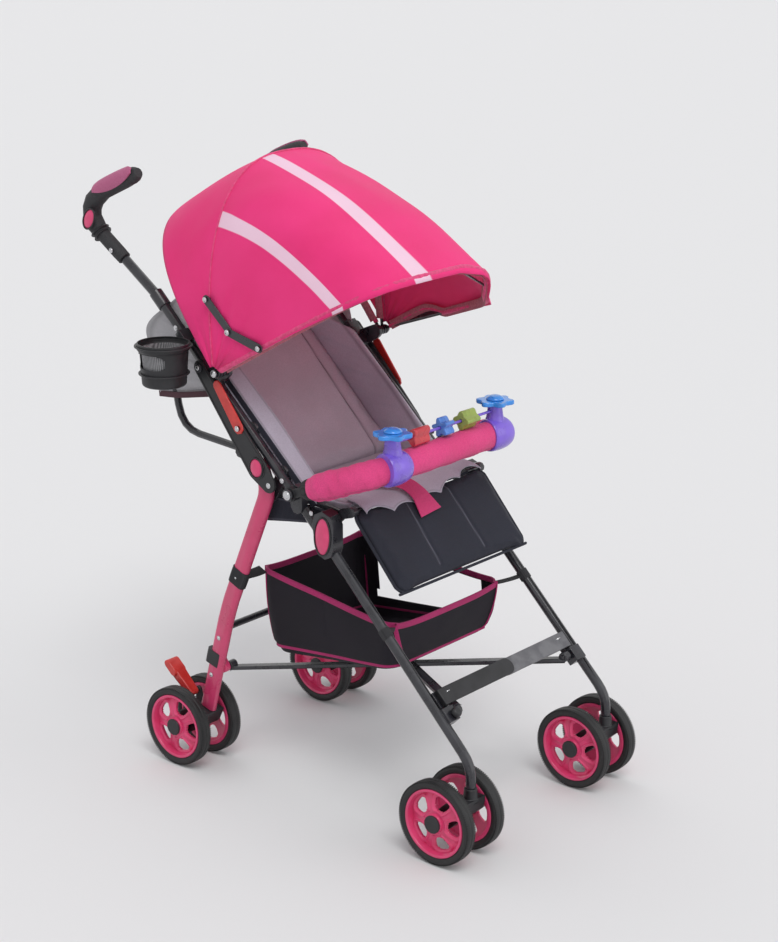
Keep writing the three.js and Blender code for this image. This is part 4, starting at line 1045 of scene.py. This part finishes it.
mid_foot, front_foot = stay_foot(MID), stay_foot(FRONT)
half_way, gap = (mid_foot + front_foot) / 2, (mid_foot - front_foot).length
link_length = STAY_REACH * math.sin(math.radians((FRONT - MID) / 2)) + 2.2
drop = math.sqrt(link_length ** 2 - gap ** 2 / 4)
elbow = half_way + (Vector((PIVOT_Y, PIVOT_Z)) - half_way).normalized() * drop
for bow in BOWS:
    hoop = softened(f"canopy_bow_{bow}", painted_steel, "frame_black", 0.0003, 50)
    for vertex in hoop.data.vertices:
        vertex.co = skewed(vertex.co)
for side, name in SIDES:
    for half in ("rear", "front"):
        softened(f"canopy_stay_{half}_{name}", painted_steel, "frame_black", 0.0006)
    for title, body, foot, off, radius in (
        ("rear", "canopy_mid", mid_foot, 235.8, 3.6),
        ("front", "canopy_front", front_foot, 238.8, 3.6),
        ("elbow", "canopy_stays_front", elbow, 238.8, 4.0),
    ):
        riveted(f"Stay_rivet_{title}_{name}", body, [((side * off, *foot), (side, 0, 0), radius)])

# ---- Seat, backrest and calf rest ----------------------------------------------
# Padded panels of quilted polyester: each starts as a slim board, is filled with air
# as cloth until it crowns between its edges, then gets its sewn channels and piping.
FILL_STEPS = 20
BOARD_RINGS = [(0.0, -0.5), (0.55, -0.5), (0.9, -0.42), (1.0, -0.2)]
BOARD_RINGS += [(share, -level) for share, level in reversed(BOARD_RINGS)]


def leaning(degrees):
    """The directions along and off a panel that leans by this angle."""
    a = math.radians(degrees)
    return Vector((0, math.cos(a), math.sin(a))), Vector((0, -math.sin(a), math.cos(a)))


def panel_outline(width, length, corner, steps):
    """A rectangle with rounded corners, its near edge's middle at the origin."""
    w = width / 2
    return soft_corners([(-w, 0), (w, 0), (w, length), (-w, length)], corner, steps)


def board(width, length, thick, corner, origin, along, upward):
    """A closed board with rounded corners."""
    outline = panel_outline(width, length, corner, 8)
    middle = Vector((0, length / 2))
    vertices = []
    for share, level in BOARD_RINGS:
        for point in outline:
            away = point - middle
            inset = (1 - share) * 0.006 * (3 if share < 0.9 else 1)
            place = middle + away * ((1 - inset / max(0.02, away.length)) if share else 0)
            vertices.append(origin + Vector((place.x, 0, 0)) + along * place.y
                            + upward * (level * thick))
    return vertices, grid_faces(len(BOARD_RINGS), len(outline), False, True)


def spots_of(piece):
    """A piece's points as rows of numbers."""
    spots = np.empty(len(piece.data.vertices) * 3, np.float32)
    piece.data.vertices.foreach_get("co", spots)
    return spots.reshape(-1, 3).astype(float)


def put_spots(piece, spots):
    """Moves a piece's points to these rows of numbers."""
    piece.data.vertices.foreach_set("co", spots.ravel().astype(np.float32))
    piece.data.update()


def stuffed(name, solid, cap, voxel, pressure=4.0):
    """Fills a closed shape with air as cloth; no point moves further than the cap."""
    pad = bpy.data.objects.new(name, welded(raw_mesh(name, *solid), 1e-5))
    scene.collection.objects.link(pad)
    even = pad.modifiers.new("even", "REMESH")
    even.mode, even.voxel_size = "VOXEL", voxel
    settled(pad)
    start = spots_of(pad)
    air = pad.modifiers.new("air", "CLOTH")
    air.settings.use_pressure = True
    air.settings.uniform_pressure_force = pressure
    air.settings.mass = 0.3
    air.settings.tension_stiffness = air.settings.compression_stiffness = 15
    air.settings.effector_weights.gravity = 0
    air.point_cache.frame_start, air.point_cache.frame_end = 1, FILL_STEPS
    for step in range(1, FILL_STEPS + 1):
        scene.frame_set(step)
    settled(pad)
    scene.frame_set(1)
    move = spots_of(pad) - start
    far = np.linalg.norm(move, axis=1, keepdims=True)
    put_spots(pad, start + move * np.minimum(1, cap / np.maximum(far, 1e-9)))
    smooth = pad.modifiers.new("smooth", "SUBSURF")
    smooth.levels = smooth.render_levels = 1
    return settled(pad)


def stitched(pad, origin, along, upward, seams, depth, width, both):
    """Presses sewn lines into a pad and keeps where they are as the seam attribute.

    Each seam is a list of (across, along) points in metres on the pad's face."""
    spots = spots_of(pad)
    local = spots - np.array(origin)
    across, down, lift = local[:, 0], local @ np.array(along), local @ np.array(upward)
    nearest = np.full(len(spots), 9.0)
    for line in seams:
        for (ax, ay), (bx, by) in zip(line, line[1:]):
            dx, dy = bx - ax, by - ay
            k = np.clip(((across - ax) * dx + (down - ay) * dy) / (dx * dx + dy * dy), 0, 1)
            gap = np.hypot(across - ax - dx * k, down - ay - dy * k)
            nearest = np.minimum(nearest, gap)
    groove = np.exp(-((nearest / width) ** 2))
    face = np.clip(lift / 0.006, -1 if both else 0, 1)
    put_spots(pad, spots - (groove * face * depth)[:, None] * np.array(upward)[None, :])
    seam_marks(pad.data, np.exp(-((nearest / (width * 0.32)) ** 2)) * np.abs(face))


def quilted(name, light, dark, seam_color, rough=0.72):
    """A woven polyester finish with soft colour clouds and darker sewn lines."""
    cloth = Finish(name, light, rough, Sheen_Weight=0.1 if light[0] > 0.1 else 0.02,
                   Specular_IOR_Level=0.25)
    x, y, z = cloth.axes()
    threads = ((x + z) * 4600).sine() * 0.5 + ((y - z) * 4600).sine() * 0.5
    cloud = cloth.noise(9, 4).between(0.3, 0.75)
    fleck = cloth.noise(420, 2).between(0.35, 0.65)
    base = cloth.mix(cloud, dark, light)
    base = cloth.mix(fleck * 0.25, base, tuple(c * 0.7 for c in dark))
    seam = cloth.node("ShaderNodeAttribute", {"attribute_name": "seam"}, output=2)
    cloth.put("Base Color", cloth.mix(seam * 0.85, base, seam_color))
    cloth.put("Roughness", rough - 0.06 + cloud * 0.14)
    cloth.bump(threads * 0.5 + cloth.noise(55, 4) * 1.5, 0.0005, 0.6)
    return cloth


seat_grey = quilted("seat polyester", (0.53, 0.46, 0.53), (0.45, 0.39, 0.45), (0.06, 0.045, 0.055))
seat_black = quilted("black polyester", (0.026, 0.028, 0.041), (0.017, 0.018, 0.028),
                     (0.12, 0.12, 0.15))
wing_grey = quilted("side polyester", (0.55, 0.51, 0.60), (0.47, 0.43, 0.51), (0.05, 0.035, 0.045))
strap_pink = quilted("pink webbing", (0.67, 0.050, 0.19), (0.58, 0.042, 0.16), (0.40, 0.02, 0.10))
maroon = quilted("maroon webbing", (0.095, 0.042, 0.055), (0.075, 0.032, 0.042), (0.03, 0.02, 0.02))
net_grey = quilted("grey net", (0.52, 0.51, 0.53), (0.42, 0.41, 0.43), (0.14, 0.14, 0.14))

BACK_AXIS, BACK_UP = leaning(44)
SEAT_AXIS, SEAT_UP = leaning(0)
CALF_AXIS, CALF_UP = leaning(229)
BACK_HINGE, CALF_HINGE = at(0, 105, 548), at(0, -70, 552)
back_foot, calf_foot = BACK_HINGE + BACK_AXIS * 0.006, CALF_HINGE + CALF_AXIS * 0.001
seat_foot = at(0, -52, 553)


def paired(*line):
    """A sewn line on each side of a pad, from the line on its left."""
    return [[(side * x, y) for x, y in line] for side, _ in SIDES]


# Each row: the pad and its CAD node, where it starts and its directions, its width,
# length, thickness and corners, how far it puffs, its voxels, its sewn lines with their
# depth and width (the calf rest's on both faces), and its fill.
for title, node, body, cloth, slot, frame_of, size, puff, voxel, seams, stitch, fill in (
    ("Backrest_pad", "backrest", "backrest", seat_grey, "seat_grey",
     (back_foot, BACK_AXIS, BACK_UP), (0.302, 0.392, 0.020, 0.030), 0.007, 0.006,
     paired((0.098, 0.0), (0.104, 0.20), (0.112, 0.384)), (0.0045, 0.005, False), 0.6),
    ("Seat_cushion", "seat_pad", "frame", seat_grey, "seat_grey",
     (seat_foot, SEAT_AXIS, SEAT_UP), (0.326, 0.146, 0.019, 0.020), 0.006, 0.005,
     paired((0.098, 0.0), (0.096, 0.138)) + [[(-0.150, 0.012), (0, 0.008), (0.150, 0.012)]],
     (0.003, 0.005, False), 0.6),
    ("Calf_pad", "calf_rest", "calf_rest", seat_black, "seat_black",
     (calf_foot, CALF_AXIS, -CALF_UP), (0.356, 0.163, 0.016, 0.022), 0.006, 0.005,
     paired((0.056, 0.0), (0.062, 0.140)), (0.003, 0.0045, True), 0.5),
):
    pad = stuffed(title, board(*size, *frame_of), puff, voxel)
    stitched(pad, *frame_of, seams, *stitch)
    handed(pad, cloth, body, slot, [node], 60)

# ---- Piping, wings and side panels ---------------------------------------------
# Piping rolls round the pads' rims; grey wings stretch from the backrest to the main
# tubes, a black skirt hangs beside the seat, and net closes the back of each side.
for title, body, cloth, slot, origin, along, upward, size, level in (
    ("Backrest", "backrest", seat_grey, "seat_grey", back_foot - BACK_AXIS * 0.003,
     BACK_AXIS, BACK_UP, (0.297, 0.386, 0.032), 0.003),
    ("Seat", "frame", wing_grey, "seat_grey", seat_foot + SEAT_AXIS * 0.001,
     SEAT_AXIS, SEAT_UP, (0.323, 0.143, 0.022), 0.004),
    ("Calf", "calf_rest", seat_black, "seat_black", calf_foot + CALF_AXIS * 0.001,
     CALF_AXIS, CALF_UP, (0.353, 0.1605, 0.022), 0.0),
):
    rim = [origin + Vector((p.x, 0, 0)) + along * p.y + upward * level
           for p in panel_outline(*size, 6)]
    path = smooth_path([*rim, rim[0]], 180)[:-1]
    made(f"{title}_piping", swept(path, lambda s: round_section(0.0026, 8), upward, True),
         cloth, body, slot, (), 60)

PANEL_ROWS, PANEL_COLUMNS = 49, 15


def hung_panel(name, edges, finish, slot, sag=0.0, thick=0.0012, blended=None):
    """A cloth panel between two rows of drawing points; sag bows it inwards."""
    first, second = [smooth_path([at(*p) for p in row], PANEL_ROWS) for row in edges]
    vertices = []
    for i in range(PANEL_ROWS):
        for j in range(PANEL_COLUMNS):
            k = j / (PANEL_COLUMNS - 1)
            place = first[i].lerp(second[i], k)
            dip = math.sin(math.pi * k) * (1 + 0.25 * math.sin(i * 0.7) + 0.15 * math.sin(i * 1.9))
            inward = -math.copysign(1, place.x - at(0, 0, 0).x) * sag * dip
            vertices.append(place + Vector((inward, 0, -sag * 0.4 * dip)))
    mesh = raw_mesh(name, vertices, grid_faces(PANEL_ROWS, PANEL_COLUMNS))
    edge = [0.5 * (j in (1, PANEL_COLUMNS - 2)) for j in range(PANEL_COLUMNS)]
    seam_marks(mesh, edge * PANEL_ROWS)
    panel, area = sheet_piece(mesh, thick, finish, None if blended else "frame", slot)
    long_side = max((first[0] - first[-1]).length, (second[0] - second[-1]).length,
                    length_of(first))
    wide = max((a - b).length for a, b in zip(first, second)) + 2 * sag
    wide = max(wide, area / long_side)
    if blended:
        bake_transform(panel)


TUBE_LEAN = math.radians(43.1)
SHARES = (0.0, 0.25, 0.5, 0.75, 1.0)


def on_tube(run, rise):
    """(y, z) beside the main tube: run goes up along it and rise stands off its top."""
    c, s = math.cos(TUBE_LEAN), math.sin(TUBE_LEAN)
    return run * c - rise * s, 521 + run * s + rise * c


for side, name in SIDES:
    outer, inner, under = (
        [(side * x, *on_tube(foot + 306 * k, rise(k))) for k in SHARES]
        for x, foot, rise in ((178, 26, lambda k: 16 - 2 * k),
                              (154, 30, lambda k: 31 - 3 * math.cos(6 * k)),
                              (182, 26, lambda k: 6)))
    deep = [(side * 141, 104 + (6 + 392 * k) * 0.7193, 549 + (6 + 392 * k) * 0.6947)
            for k in SHARES]
    skirt = [[(side * x, y, z) for x, y, z in row] for row in (
        ((180, 128, 545), (180, 60, 548), (179, -30, 545)),
        ((181, 132, 497), (182, 70, 508), (181, -8, 520)))]
    net = [[(side * x, y, z) for x, y, z in row] for row in (
        ((186, 330, 868), (182, 411, 806), (176, 402, 745), (174, 391, 684)),
        ((202, 290, 838), (196, 262, 800), (186, 240, 750), (178, 223, 712)))]
    hung_panel(f"Seat_wing_{name}", (outer, inner), wing_grey, "seat_grey",
               thick=0.0030)
    # Each side wall is the seat back's cloth, but it takes the paler side grey to lift the shade it
    # stands in: painted light.
    hung_panel(f"Seat_side_wall_{name}", (inner, deep), wing_grey, "seat_grey",
               0.003,
               blended=(BACK_HINGE + BACK_UP * 0.085, BACK_HINGE + BACK_UP * 0.012))
    # A black sheet runs under each wing from its outer edge down towards the tube.
    hung_panel(f"Seat_wing_lining_{name}", (outer, under), seat_black, "seat_black")
    hung_panel(f"Seat_skirt_{name}", skirt, seat_black, "seat_black",
               0.002)
    hung_panel(f"Back_net_{name}", net, net_grey, "mesh_grey", 0.004)
    strap = [at(side * x, y, z) for x, y, z in (
        (173, 394, 681), (178, 340, 688), (180, 280, 700), (178, 222, 711))]
    made(f"Back_strap_{name}", swept(smooth_path(strap, 40), lambda s: flat_section(0.0022, 0.011),
                                     (0, 0, 1)), maroon, "frame", "pink_fabric", (), 50)

# A cloth gusset closes the gap between the seat's rear edge and the backrest's foot.
gusset = [[(150 - 75 * k, y, z) for k in range(5)] for y, z in ((80, 549), (124, 561))]
hung_panel("Seat_gusset", gusset, seat_grey, "seat_grey",
           blended=(BACK_HINGE - Vector((0, 0.014, 0)), BACK_HINGE + BACK_AXIS * 0.012))

# A grey apron runs from the seat's front over the top of the calf rest and ends in shallow
# scallops; it is bent over a knee near the calf rest's hinge.
APRON_ROWS, APRON_COLUMNS = 19, 97
top_line = smooth_path([at(-158 + 316 * k / 24, -40, 566) for k in range(25)], APRON_COLUMNS)
low_line = []
for j in range(APRON_COLUMNS):
    k = j / (APRON_COLUMNS - 1)
    drop = 8 + 24 * math.sin(math.pi * min(1, 0.08 + 1.1 * k)) ** 0.9
    drop -= 13 * abs(math.sin(5 * math.pi * k)) ** 0.7
    low_line.append(at(-160 + 320 * k, -80.6 - 0.656 * drop, 561.2 - 0.755 * drop))
vertices = []
for i in range(APRON_ROWS):
    k = i / (APRON_ROWS - 1)
    for a, b in zip(top_line, low_line):
        knee = Vector((a.x, at(0, -74, 0).y, 0.5655))
        vertices.append(a * (1 - k) ** 2 + knee * 2 * k * (1 - k) + b * k * k)
mesh = raw_mesh("Seat_apron", vertices, grid_faces(APRON_ROWS, APRON_COLUMNS))
seam_marks(mesh, np.repeat([0.35 * (i == APRON_ROWS - 2) for i in range(APRON_ROWS)],
                           APRON_COLUMNS))
apron, apron_area = sheet_piece(mesh, 0.0016, wing_grey, None, "seat_grey")
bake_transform(apron)

# ---- Crotch strap --------------------------------------------------------------
# Pink webbing sewn to the seat's front edge, lying over it and the calf rest and wider
# at its lower end.
strap_line = smooth_path([at(-127, -4, 573), at(-104, -28, 580), at(-72, -54, 583),
                          at(-44, -76, 574), at(-30, -93, 558), at(-25, -106, 541),
                          at(-23, -119, 525)], 60)


def strap_section(share):
    """Flat webbing that widens into its sewn end."""
    return flat_section(0.022 + 0.036 * (max(0, share - 0.45) / 0.55) ** 1.4, 0.0024)


def strap_up(share):
    """The strap turns over from its own face to the calf rest's."""
    return Vector((-0.50, -0.45, 0.74)).lerp(Vector((0, -0.755, 0.656)), unit((share - 0.35) / 0.4))


strap = made("Crotch_strap_webbing", swept(strap_line, strap_section, strap_up), strap_pink,
             None, "pink_fabric", ["crotch_strap"], 50)
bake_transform(strap)
softened("recline_bar", painted_steel, "frame_black", 0.0004, 50)

# A thin bent tube carries the calf rest's pad along its sides and foot.
calf_half = [(-0.154, 0.010), (-0.154, 0.060), (-0.154, 0.128), (-0.150, 0.140), (-0.138, 0.144)]
calf_loop = [*calf_half, (0, 0.144), *((-x, d) for x, d in reversed(calf_half))]
calf_tube = [calf_foot + CALF_UP * 0.0155 + Vector((x, 0, 0)) + CALF_AXIS * d
             for x, d in calf_loop]
made("Calf_frame_tube", swept(smooth_path(calf_tube, 90), lambda s: round_section(0.0042, 14),
                              CALF_UP), painted_steel, "calf_rest", "frame_black")

# ---- Basket --------------------------------------------------------------------
# A black polyester bag with a soft floor, open at the top. It hangs from four corner
# straps, and pink binding is sewn over its rim, its corners and the floor's edge.
bag_cloth = quilted("basket polyester", (0.017, 0.014, 0.021), (0.010, 0.008, 0.013),
                    (0.09, 0.02, 0.05))
binding = quilted("pink binding", (0.50, 0.028, 0.16), (0.38, 0.020, 0.12), (0.25, 0.015, 0.08))
BAG_HALF, BAG_FRONT, BAG_REAR, BAG_WAIST = 150, -139, 179, 44
BAG_MIDDLE = (BAG_FRONT + BAG_REAR) / 2
AROUND, FLOOR_RINGS = 180, 12
LEVELS = [k / 22 for k in range(20)] + [0.885, 0.91, 0.935, 0.96, 0.98, 1.0]
FLOOR_EDGE = LEVELS.index(0.91)


def bag_ring(level):
    """A loop of the bag's wall; level runs from 0 at the rim to 1 at the floor."""
    tuck = 10 * level ** 2 + 7 * max(0, level - 0.86) / 0.14
    half, front, rear = BAG_HALF - tuck, BAG_FRONT + tuck, BAG_REAR - tuck
    outline = soft_corners([(-half, front), (half, front), (half - 9, BAG_WAIST), (half - 10, rear),
                            (10 - half, rear), (9 - half, BAG_WAIST)], 26 + 10 * level, 10)
    slump = math.sin(math.pi * min(1, level))
    ring = []
    for p in smooth_path([p.to_3d() for p in [*outline, outline[0]]], AROUND + 1)[:-1]:
        k = (p.y - BAG_FRONT) / (BAG_REAR - BAG_FRONT)
        off_x, off_y = p.x / BAG_HALF, 2 * k - 1
        rim = 357 + 32 * k - 7 * (1 - off_y ** 4) * abs(off_x) ** 8
        if abs(off_y) > 0.9:
            rim -= 9 * (1 - off_x ** 4) * abs(off_y) ** 8
        floor = 268 - 44 * k
        bulge = 1 + 0.016 * slump * (1 - 0.5 * abs(off_x * off_y))
        ripple = math.sin(p.x * 0.075 + level * 3) * math.sin(p.y * 0.062 - level * 2)
        ripple *= slump * (1.1 if p.y < 30 else 0.3)
        ring.append(Vector((p.x * bulge + ripple,
                            BAG_MIDDLE + (p.y - BAG_MIDDLE) * bulge + ripple,
                            rim + (floor - rim) * level)))
    return ring


rings = [bag_ring(level) for level in LEVELS]
floor_ring = rings[-1]
centre = sum(floor_ring, Vector()) / AROUND
for k in range(1, FLOOR_RINGS + 1):
    share = k / (FLOOR_RINGS + 1)
    ring = [p.lerp(centre, share) for p in floor_ring]
    dip = 11 * (1 - (1 - share) ** 2)
    rings.append([q - Vector((0, 0, dip + 1.2 * math.sin(q.x * 0.06) * math.sin(q.y * 0.07)))
                  for q in ring])
vertices = [at(*p) for ring in rings for p in ring] + [at(centre.x, centre.y, centre.z - 11)]


def left_opening(face):
    """Whether a face lies in the opening below the rim's band in the left wall."""
    i, j = divmod(face[0], AROUND)
    p = rings[i][j]
    return 2 <= i <= 16 and p.x > 130 and -104 < p.y < 136


last = (len(rings) - 1) * AROUND
faces = [face[:1] + face[:0:-1] for face in grid_faces(len(rings), AROUND, False, True)
         if not left_opening(face)]
faces += [(last + j, len(vertices) - 1, last + (j + 1) % AROUND) for j in range(AROUND)]
bag_mesh = raw_mesh("Basket_bag", vertices, faces)
seam_marks(bag_mesh, np.zeros(len(vertices)))
bag, bag_area = sheet_piece(bag_mesh, 0.0014, bag_cloth, "frame", "seat_black", ["basket"])
trims = []


def bound_edge(name, line, width, up, looped=False, finish=binding, thick=0.0024):
    """Binding or webbing sewn along a line on the bag."""
    trims.append(made(name, swept(line, lambda s: flat_section(width, thick), up, looped),
                      finish, "frame", "pink_fabric", (), 50))


def outwards(loop):
    """The outward direction at each share of a loop round the bag."""
    middle = at(0, BAG_MIDDLE, 300)

    def direction(share):
        p = loop[round(share * (len(loop) - 1))]
        return Vector((p.x - middle.x, p.y - middle.y, 0)).normalized()
    return direction


rim_line = [at(p.x, p.y, p.z - 2) for p in rings[0]]
bound_edge("Basket_rim_binding", rim_line, 0.011, outwards(rim_line), True, thick=0.0040)
foot_line = [at(p.x * 1.004, p.y * 1.004, p.z) for p in rings[FLOOR_EDGE]]
bound_edge("Basket_floor_binding", foot_line, 0.008, outwards(foot_line), True)
for title, x, y in (("front_right", -1, -1), ("front_left", 1, -1), ("rear_left", 1, 1),
                    ("rear_right", -1, 1)):
    want = Vector((x * BAG_HALF, BAG_FRONT if y < 0 else BAG_REAR))
    pick = min(range(AROUND), key=lambda j: (rings[0][j].to_2d() - want).length)
    seam_line = [at(p.x * 1.003, p.y * 1.003, p.z)
                 for p in (ring[pick] for ring in rings[:FLOOR_EDGE + 1])]
    bound_edge(f"Basket_corner_{title}", seam_line, 0.008, Vector((x, y, 0)).normalized())

# Corner straps run out from the rim and wrap the frame's tubes.
for side, name in SIDES:
    for end, width, up, line in (
        ("front", 0.016, (0, 0, 1),
         ((149, -134, 352), (160, -142, 354), (172, -151, 357), (183.4, -159, 360.5))),
        ("rear", 0.022, (0, -0.4, 1),
         ((139, 176, 384), (156, 177, 383), (172, 178, 383.5), (187, 178, 385))),
    ):
        bound_edge(f"Basket_strap_{end}_{name}",
                   smooth_path([at(side * x, y, z) for x, y, z in line], 24),
                   width, up, finish=webbing, thick=0.0018)
    wrap = [at(side * 193.4, -160.8, 360.8) + Vector((0, -0.7059, -0.7083)) * d
            for d in (-0.009, -0.0045, 0, 0.0045, 0.009)]
    trims.append(made(f"Basket_tube_loop_{name}",
                      swept(wrap, lambda s: round_section(0.0104, 24), (1, 0, 0)),
                      webbing, "frame", "seat_black"))

# The bag and its trims, except the tube loops, each get a mesh of their own.
for piece in (bag, *trims):
    if "strap_rear" in piece.name:
        side = -1 if "right" in piece.name else 1
        at(side * 140, 178, 384)
        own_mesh(piece)
    elif "loop" not in piece.name:
        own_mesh(piece)

# ---- Cup holder ----------------------------------------------------------------
# A black tapered holder clipped on the right tube: a strong lip, two wide windows in
# its wall, and a net bag inside that holds the cup.
cup_middle = at(-264, 284, 733)
CUP_SIDES, CUP_WALL = 96, 0.0026
CUP_ROWS = [(0.0, 0.036), (2.5, 0.0385)]
CUP_ROWS += [(5 + 57 * k / 24, 0.0390 + 0.0045 * k / 24) for k in range(25)]
CUP_ROWS += [(63, 0.0448), (65, 0.0464), (74, 0.0468), (76, 0.0462)]


def cup_point(layer, i, j):
    """A point of the tapered wall's outer or inner face."""
    (z, r), a = CUP_ROWS[i], 2 * math.pi * j / CUP_SIDES
    r -= layer * CUP_WALL
    return cup_middle + Vector((r * math.cos(a), r * math.sin(a),
                                z / 1000 + (0.002 if layer and z < 2 else 0)))


def cup_window(i, j):
    """Whether a cell of the wall lies in one of its two wide windows."""
    z, a = CUP_ROWS[i][0], 360 * (j + 0.5) / CUP_SIDES
    return any((abs((a - middle + 180) % 360 - 180) / half) ** 4 + (abs(z - 45) / 13) ** 4 < 1
               for middle, half in ((176, 52), (60, 34)))


points, faces = pierced(len(CUP_ROWS), CUP_SIDES, cup_point, cup_window, foot_open=True)
faces.append(tuple(reversed(range(CUP_SIDES))))
faces.append(tuple(len(CUP_ROWS) * CUP_SIDES + j for j in range(CUP_SIDES)))
bevelled(made("Cup_holder_body", (points, faces), black_plastic, "frame", "plastic_black",
              ["cup_holder"], 50), 0.0006)
net_profile = [(0.0340, 0.006), (0.0360, 0.030), (0.0380, 0.056), (0.0398, 0.066),
               (0.0392, 0.066), (0.0372, 0.054), (0.0350, 0.030), (0.0332, 0.0072)]
lattice = Finish("cup net", (0.075, 0.075, 0.08), 0.7)
_, net_y, net_z = lattice.axes()
weft = ((net_z + net_y * 0.7) * 1500).sine() * ((net_z - net_y * 0.7) * 1500).sine()
# The net's colour follows its bump: pale threads, and dark between them as painted shade in the
# mesh's hollows and holes.
lattice.put("Base Color", lattice.mix(
    weft.between(-0.4, 0.4), (0.07, 0.07, 0.075), (0.36, 0.36, 0.37)))
lattice.bump(weft, 0.0006, 0.6)
points, faces = turned(net_profile, 64)
made("Cup_net", ([cup_middle + Vector((v.y, v.z, v.x)) for v in points], faces), lattice,
     "frame", "mesh_grey", (), 60)
for title, level, radius in (("lip", 0.0705, 0.0474), ("waist", 0.022, 0.0414)):
    loop = [cup_middle + Vector((radius * math.cos(a), radius * math.sin(a), level))
            for a in circle(64)]
    made(f"Cup_{title}_band", swept(loop, lambda s: flat_section(0.007, 0.0028), (0, 0, 1), True),
         black_plastic, "frame", "plastic_black")

# ---- Toy bar -------------------------------------------------------------------
# A padded bar in pink fabric curves round the child on two black brackets; purple
# clamps on it hold a rod with three spinning toys and two blue flower discs.
BAR_HALF = [(214, -12, 590), (206, -62, 608), (170, -116, 628), (94, -131, 634)]
BAR_RADIUS = 0.0248
bar_path = smooth_path([at(-x, y, z) for x, y, z in BAR_HALF] + [at(0, -134, 635)]
                       + [at(*spot) for spot in reversed(BAR_HALF)], 130)


def bar_section(share):
    """The padded bar's round section, drawn in at its ends and gathered by its seams."""
    end = min(share, 1 - share) * 2
    swell = 1 - math.exp(-((end + 0.006) / 0.022) ** 0.9) * 0.42
    gather = 0.0005 * math.sin(share * 260) * math.exp(-((end / 0.16) ** 2))
    return round_section(BAR_RADIUS * swell + gather, 36)


bar = stuffed("Toy_bar_pad", swept(bar_path, bar_section, (0, 0, 1)), 0.0030, 0.005, 2.5)
spots, line = spots_of(bar), np.array(bar_path)[::2]
near = np.linalg.norm(spots[:, None, :] - line[None, :, :], axis=2).argmin(1)
share = near * 2 / (len(bar_path) - 1)
radial = spots - line[near]
radial /= np.maximum(np.linalg.norm(radial, axis=1, keepdims=True), 1e-9)
lift, end = radial[:, 2], np.minimum(share, 1 - share) * 2
wrinkle = 0.0009 * np.sin(share * 150 + lift * 2.4) * np.exp(-((end / 0.5) ** 2))
wrinkle += 0.0006 * np.sin(share * 61 - lift * 3.1)
seam = np.exp(-(((lift + 0.75) / 0.10) ** 2))
put_spots(bar, spots + radial * (wrinkle - 0.0012 * seam)[:, None])
seam_marks(bar.data, seam * 0.6)
bar_cloth = quilted("toy bar fabric", (0.82, 0.075, 0.26), (0.72, 0.058, 0.21), (0.35, 0.02, 0.10))
handed(bar, bar_cloth, "toy_bar", "pink_fabric", ["toy_bar"], 60)

for side, name in SIDES:
    arm = [at(side * 214, 33, 573), at(side * 214, 14, 580), at(side * 214, -6, 588),
           at(side * 213, -20, 593)]
    made(f"Bar_bracket_{name}", swept(smooth_path(arm, 20), lambda s: flat_section(
        0.009, 0.017, 0.0035), (0, 0.35, 1)), black_plastic, "toy_bar", "plastic_black")
    button(f"Bar_eye_{name}",
           [(0.0050, -0.0052), (0.0130, -0.0052), (0.0130, 0.0050), (0.0050, 0.0050)],
           0.001, 2, 40, arm[0], Matrix.Identity(3), black_plastic, "toy_bar", "plastic_black")
    cuff = [at(side * 214, -4 - 2.6 * k, 587 + 1.1 * k) for k in range(6)]
    made(f"Bar_cuff_{name}", swept(cuff, lambda s: round_section(
        0.0176 + 0.0012 * math.sin(math.pi * s), 32), (0, 0, 1)), webbing, "toy_bar", "seat_black")


def toy_plastic(name, color, rough=0.28):
    """Glossy moulded plastic with a little cloudiness."""
    dark, light = (tuple(min(1, c * k) for c in color) for k in (0.9, 1.12))
    return mottled(name, (45, 3, 0.3, 0.7), dark, light, (rough - 0.05, 0.12),
                   (900, 2, 0.0001, 0.4), Coat_Weight=0.4)


purple = toy_plastic("purple plastic", (0.20, 0.11, 0.62))
blue = toy_plastic("clear blue plastic", (0.035, 0.27, 0.78), 0.15)
softened("toy_rail", purple, "purple_plastic", 0.0010, 40)


def cuff_section(share):
    """The cuff is fullest in its middle and rolls in at both rims."""
    rim = abs(share * 2 - 1)
    return round_section(0.0300 - 0.0008 * rim ** 2 - 0.0012 * rim ** 12, 40)


for side, name in SIDES:
    # A broad barrel-shaped cuff of the same plastic clips each post round the bar.
    cuff = [at(side * 140 + d, -130.5 + 0.006 * d * d, 633.5) for d in range(-20, 21, 2)]
    made(f"Toy_cuff_{name}", swept(cuff, cuff_section, (0, 0, 1)), purple, "toy_bar",
         "purple_plastic")
    button(f"Toy_post_{name}",
           [(0.0002, 0.0), (0.0185, 0.0), (0.0150, 0.012), (0.0125, 0.032), (0.0002, 0.032)],
           0.002, 3, 36, at(side * 140, -130, 655), UPRIGHT, purple, "toy_bar", "purple_plastic")
    button(f"Flower_cap_{name}",
           [(0.0002, 0.0), (0.0165, 0.0), (0.0150, 0.003), (0.0090, 0.0065), (0.0002, 0.0075)],
           0.0015, 3, 40, at(side * 140, -130, 697), UPRIGHT, blue, f"flower_{name}",
           "blue_plastic")
for _, name in SIDES:
    softened(f"toy_flower_{name}", blue, "blue_plastic", 0.0014, 50)
for toy, title, color, slot in (
    ("propeller", "toy red", (0.56, 0.028, 0.045), "red_plastic"),
    ("star", "star blue", (0.06, 0.20, 0.62), "blue_plastic"),
    ("clover", "toy green", (0.27, 0.36, 0.06), "green_plastic"),
):
    softened(f"toy_{toy}", toy_plastic(title, color), slot, 0.0012, 40)
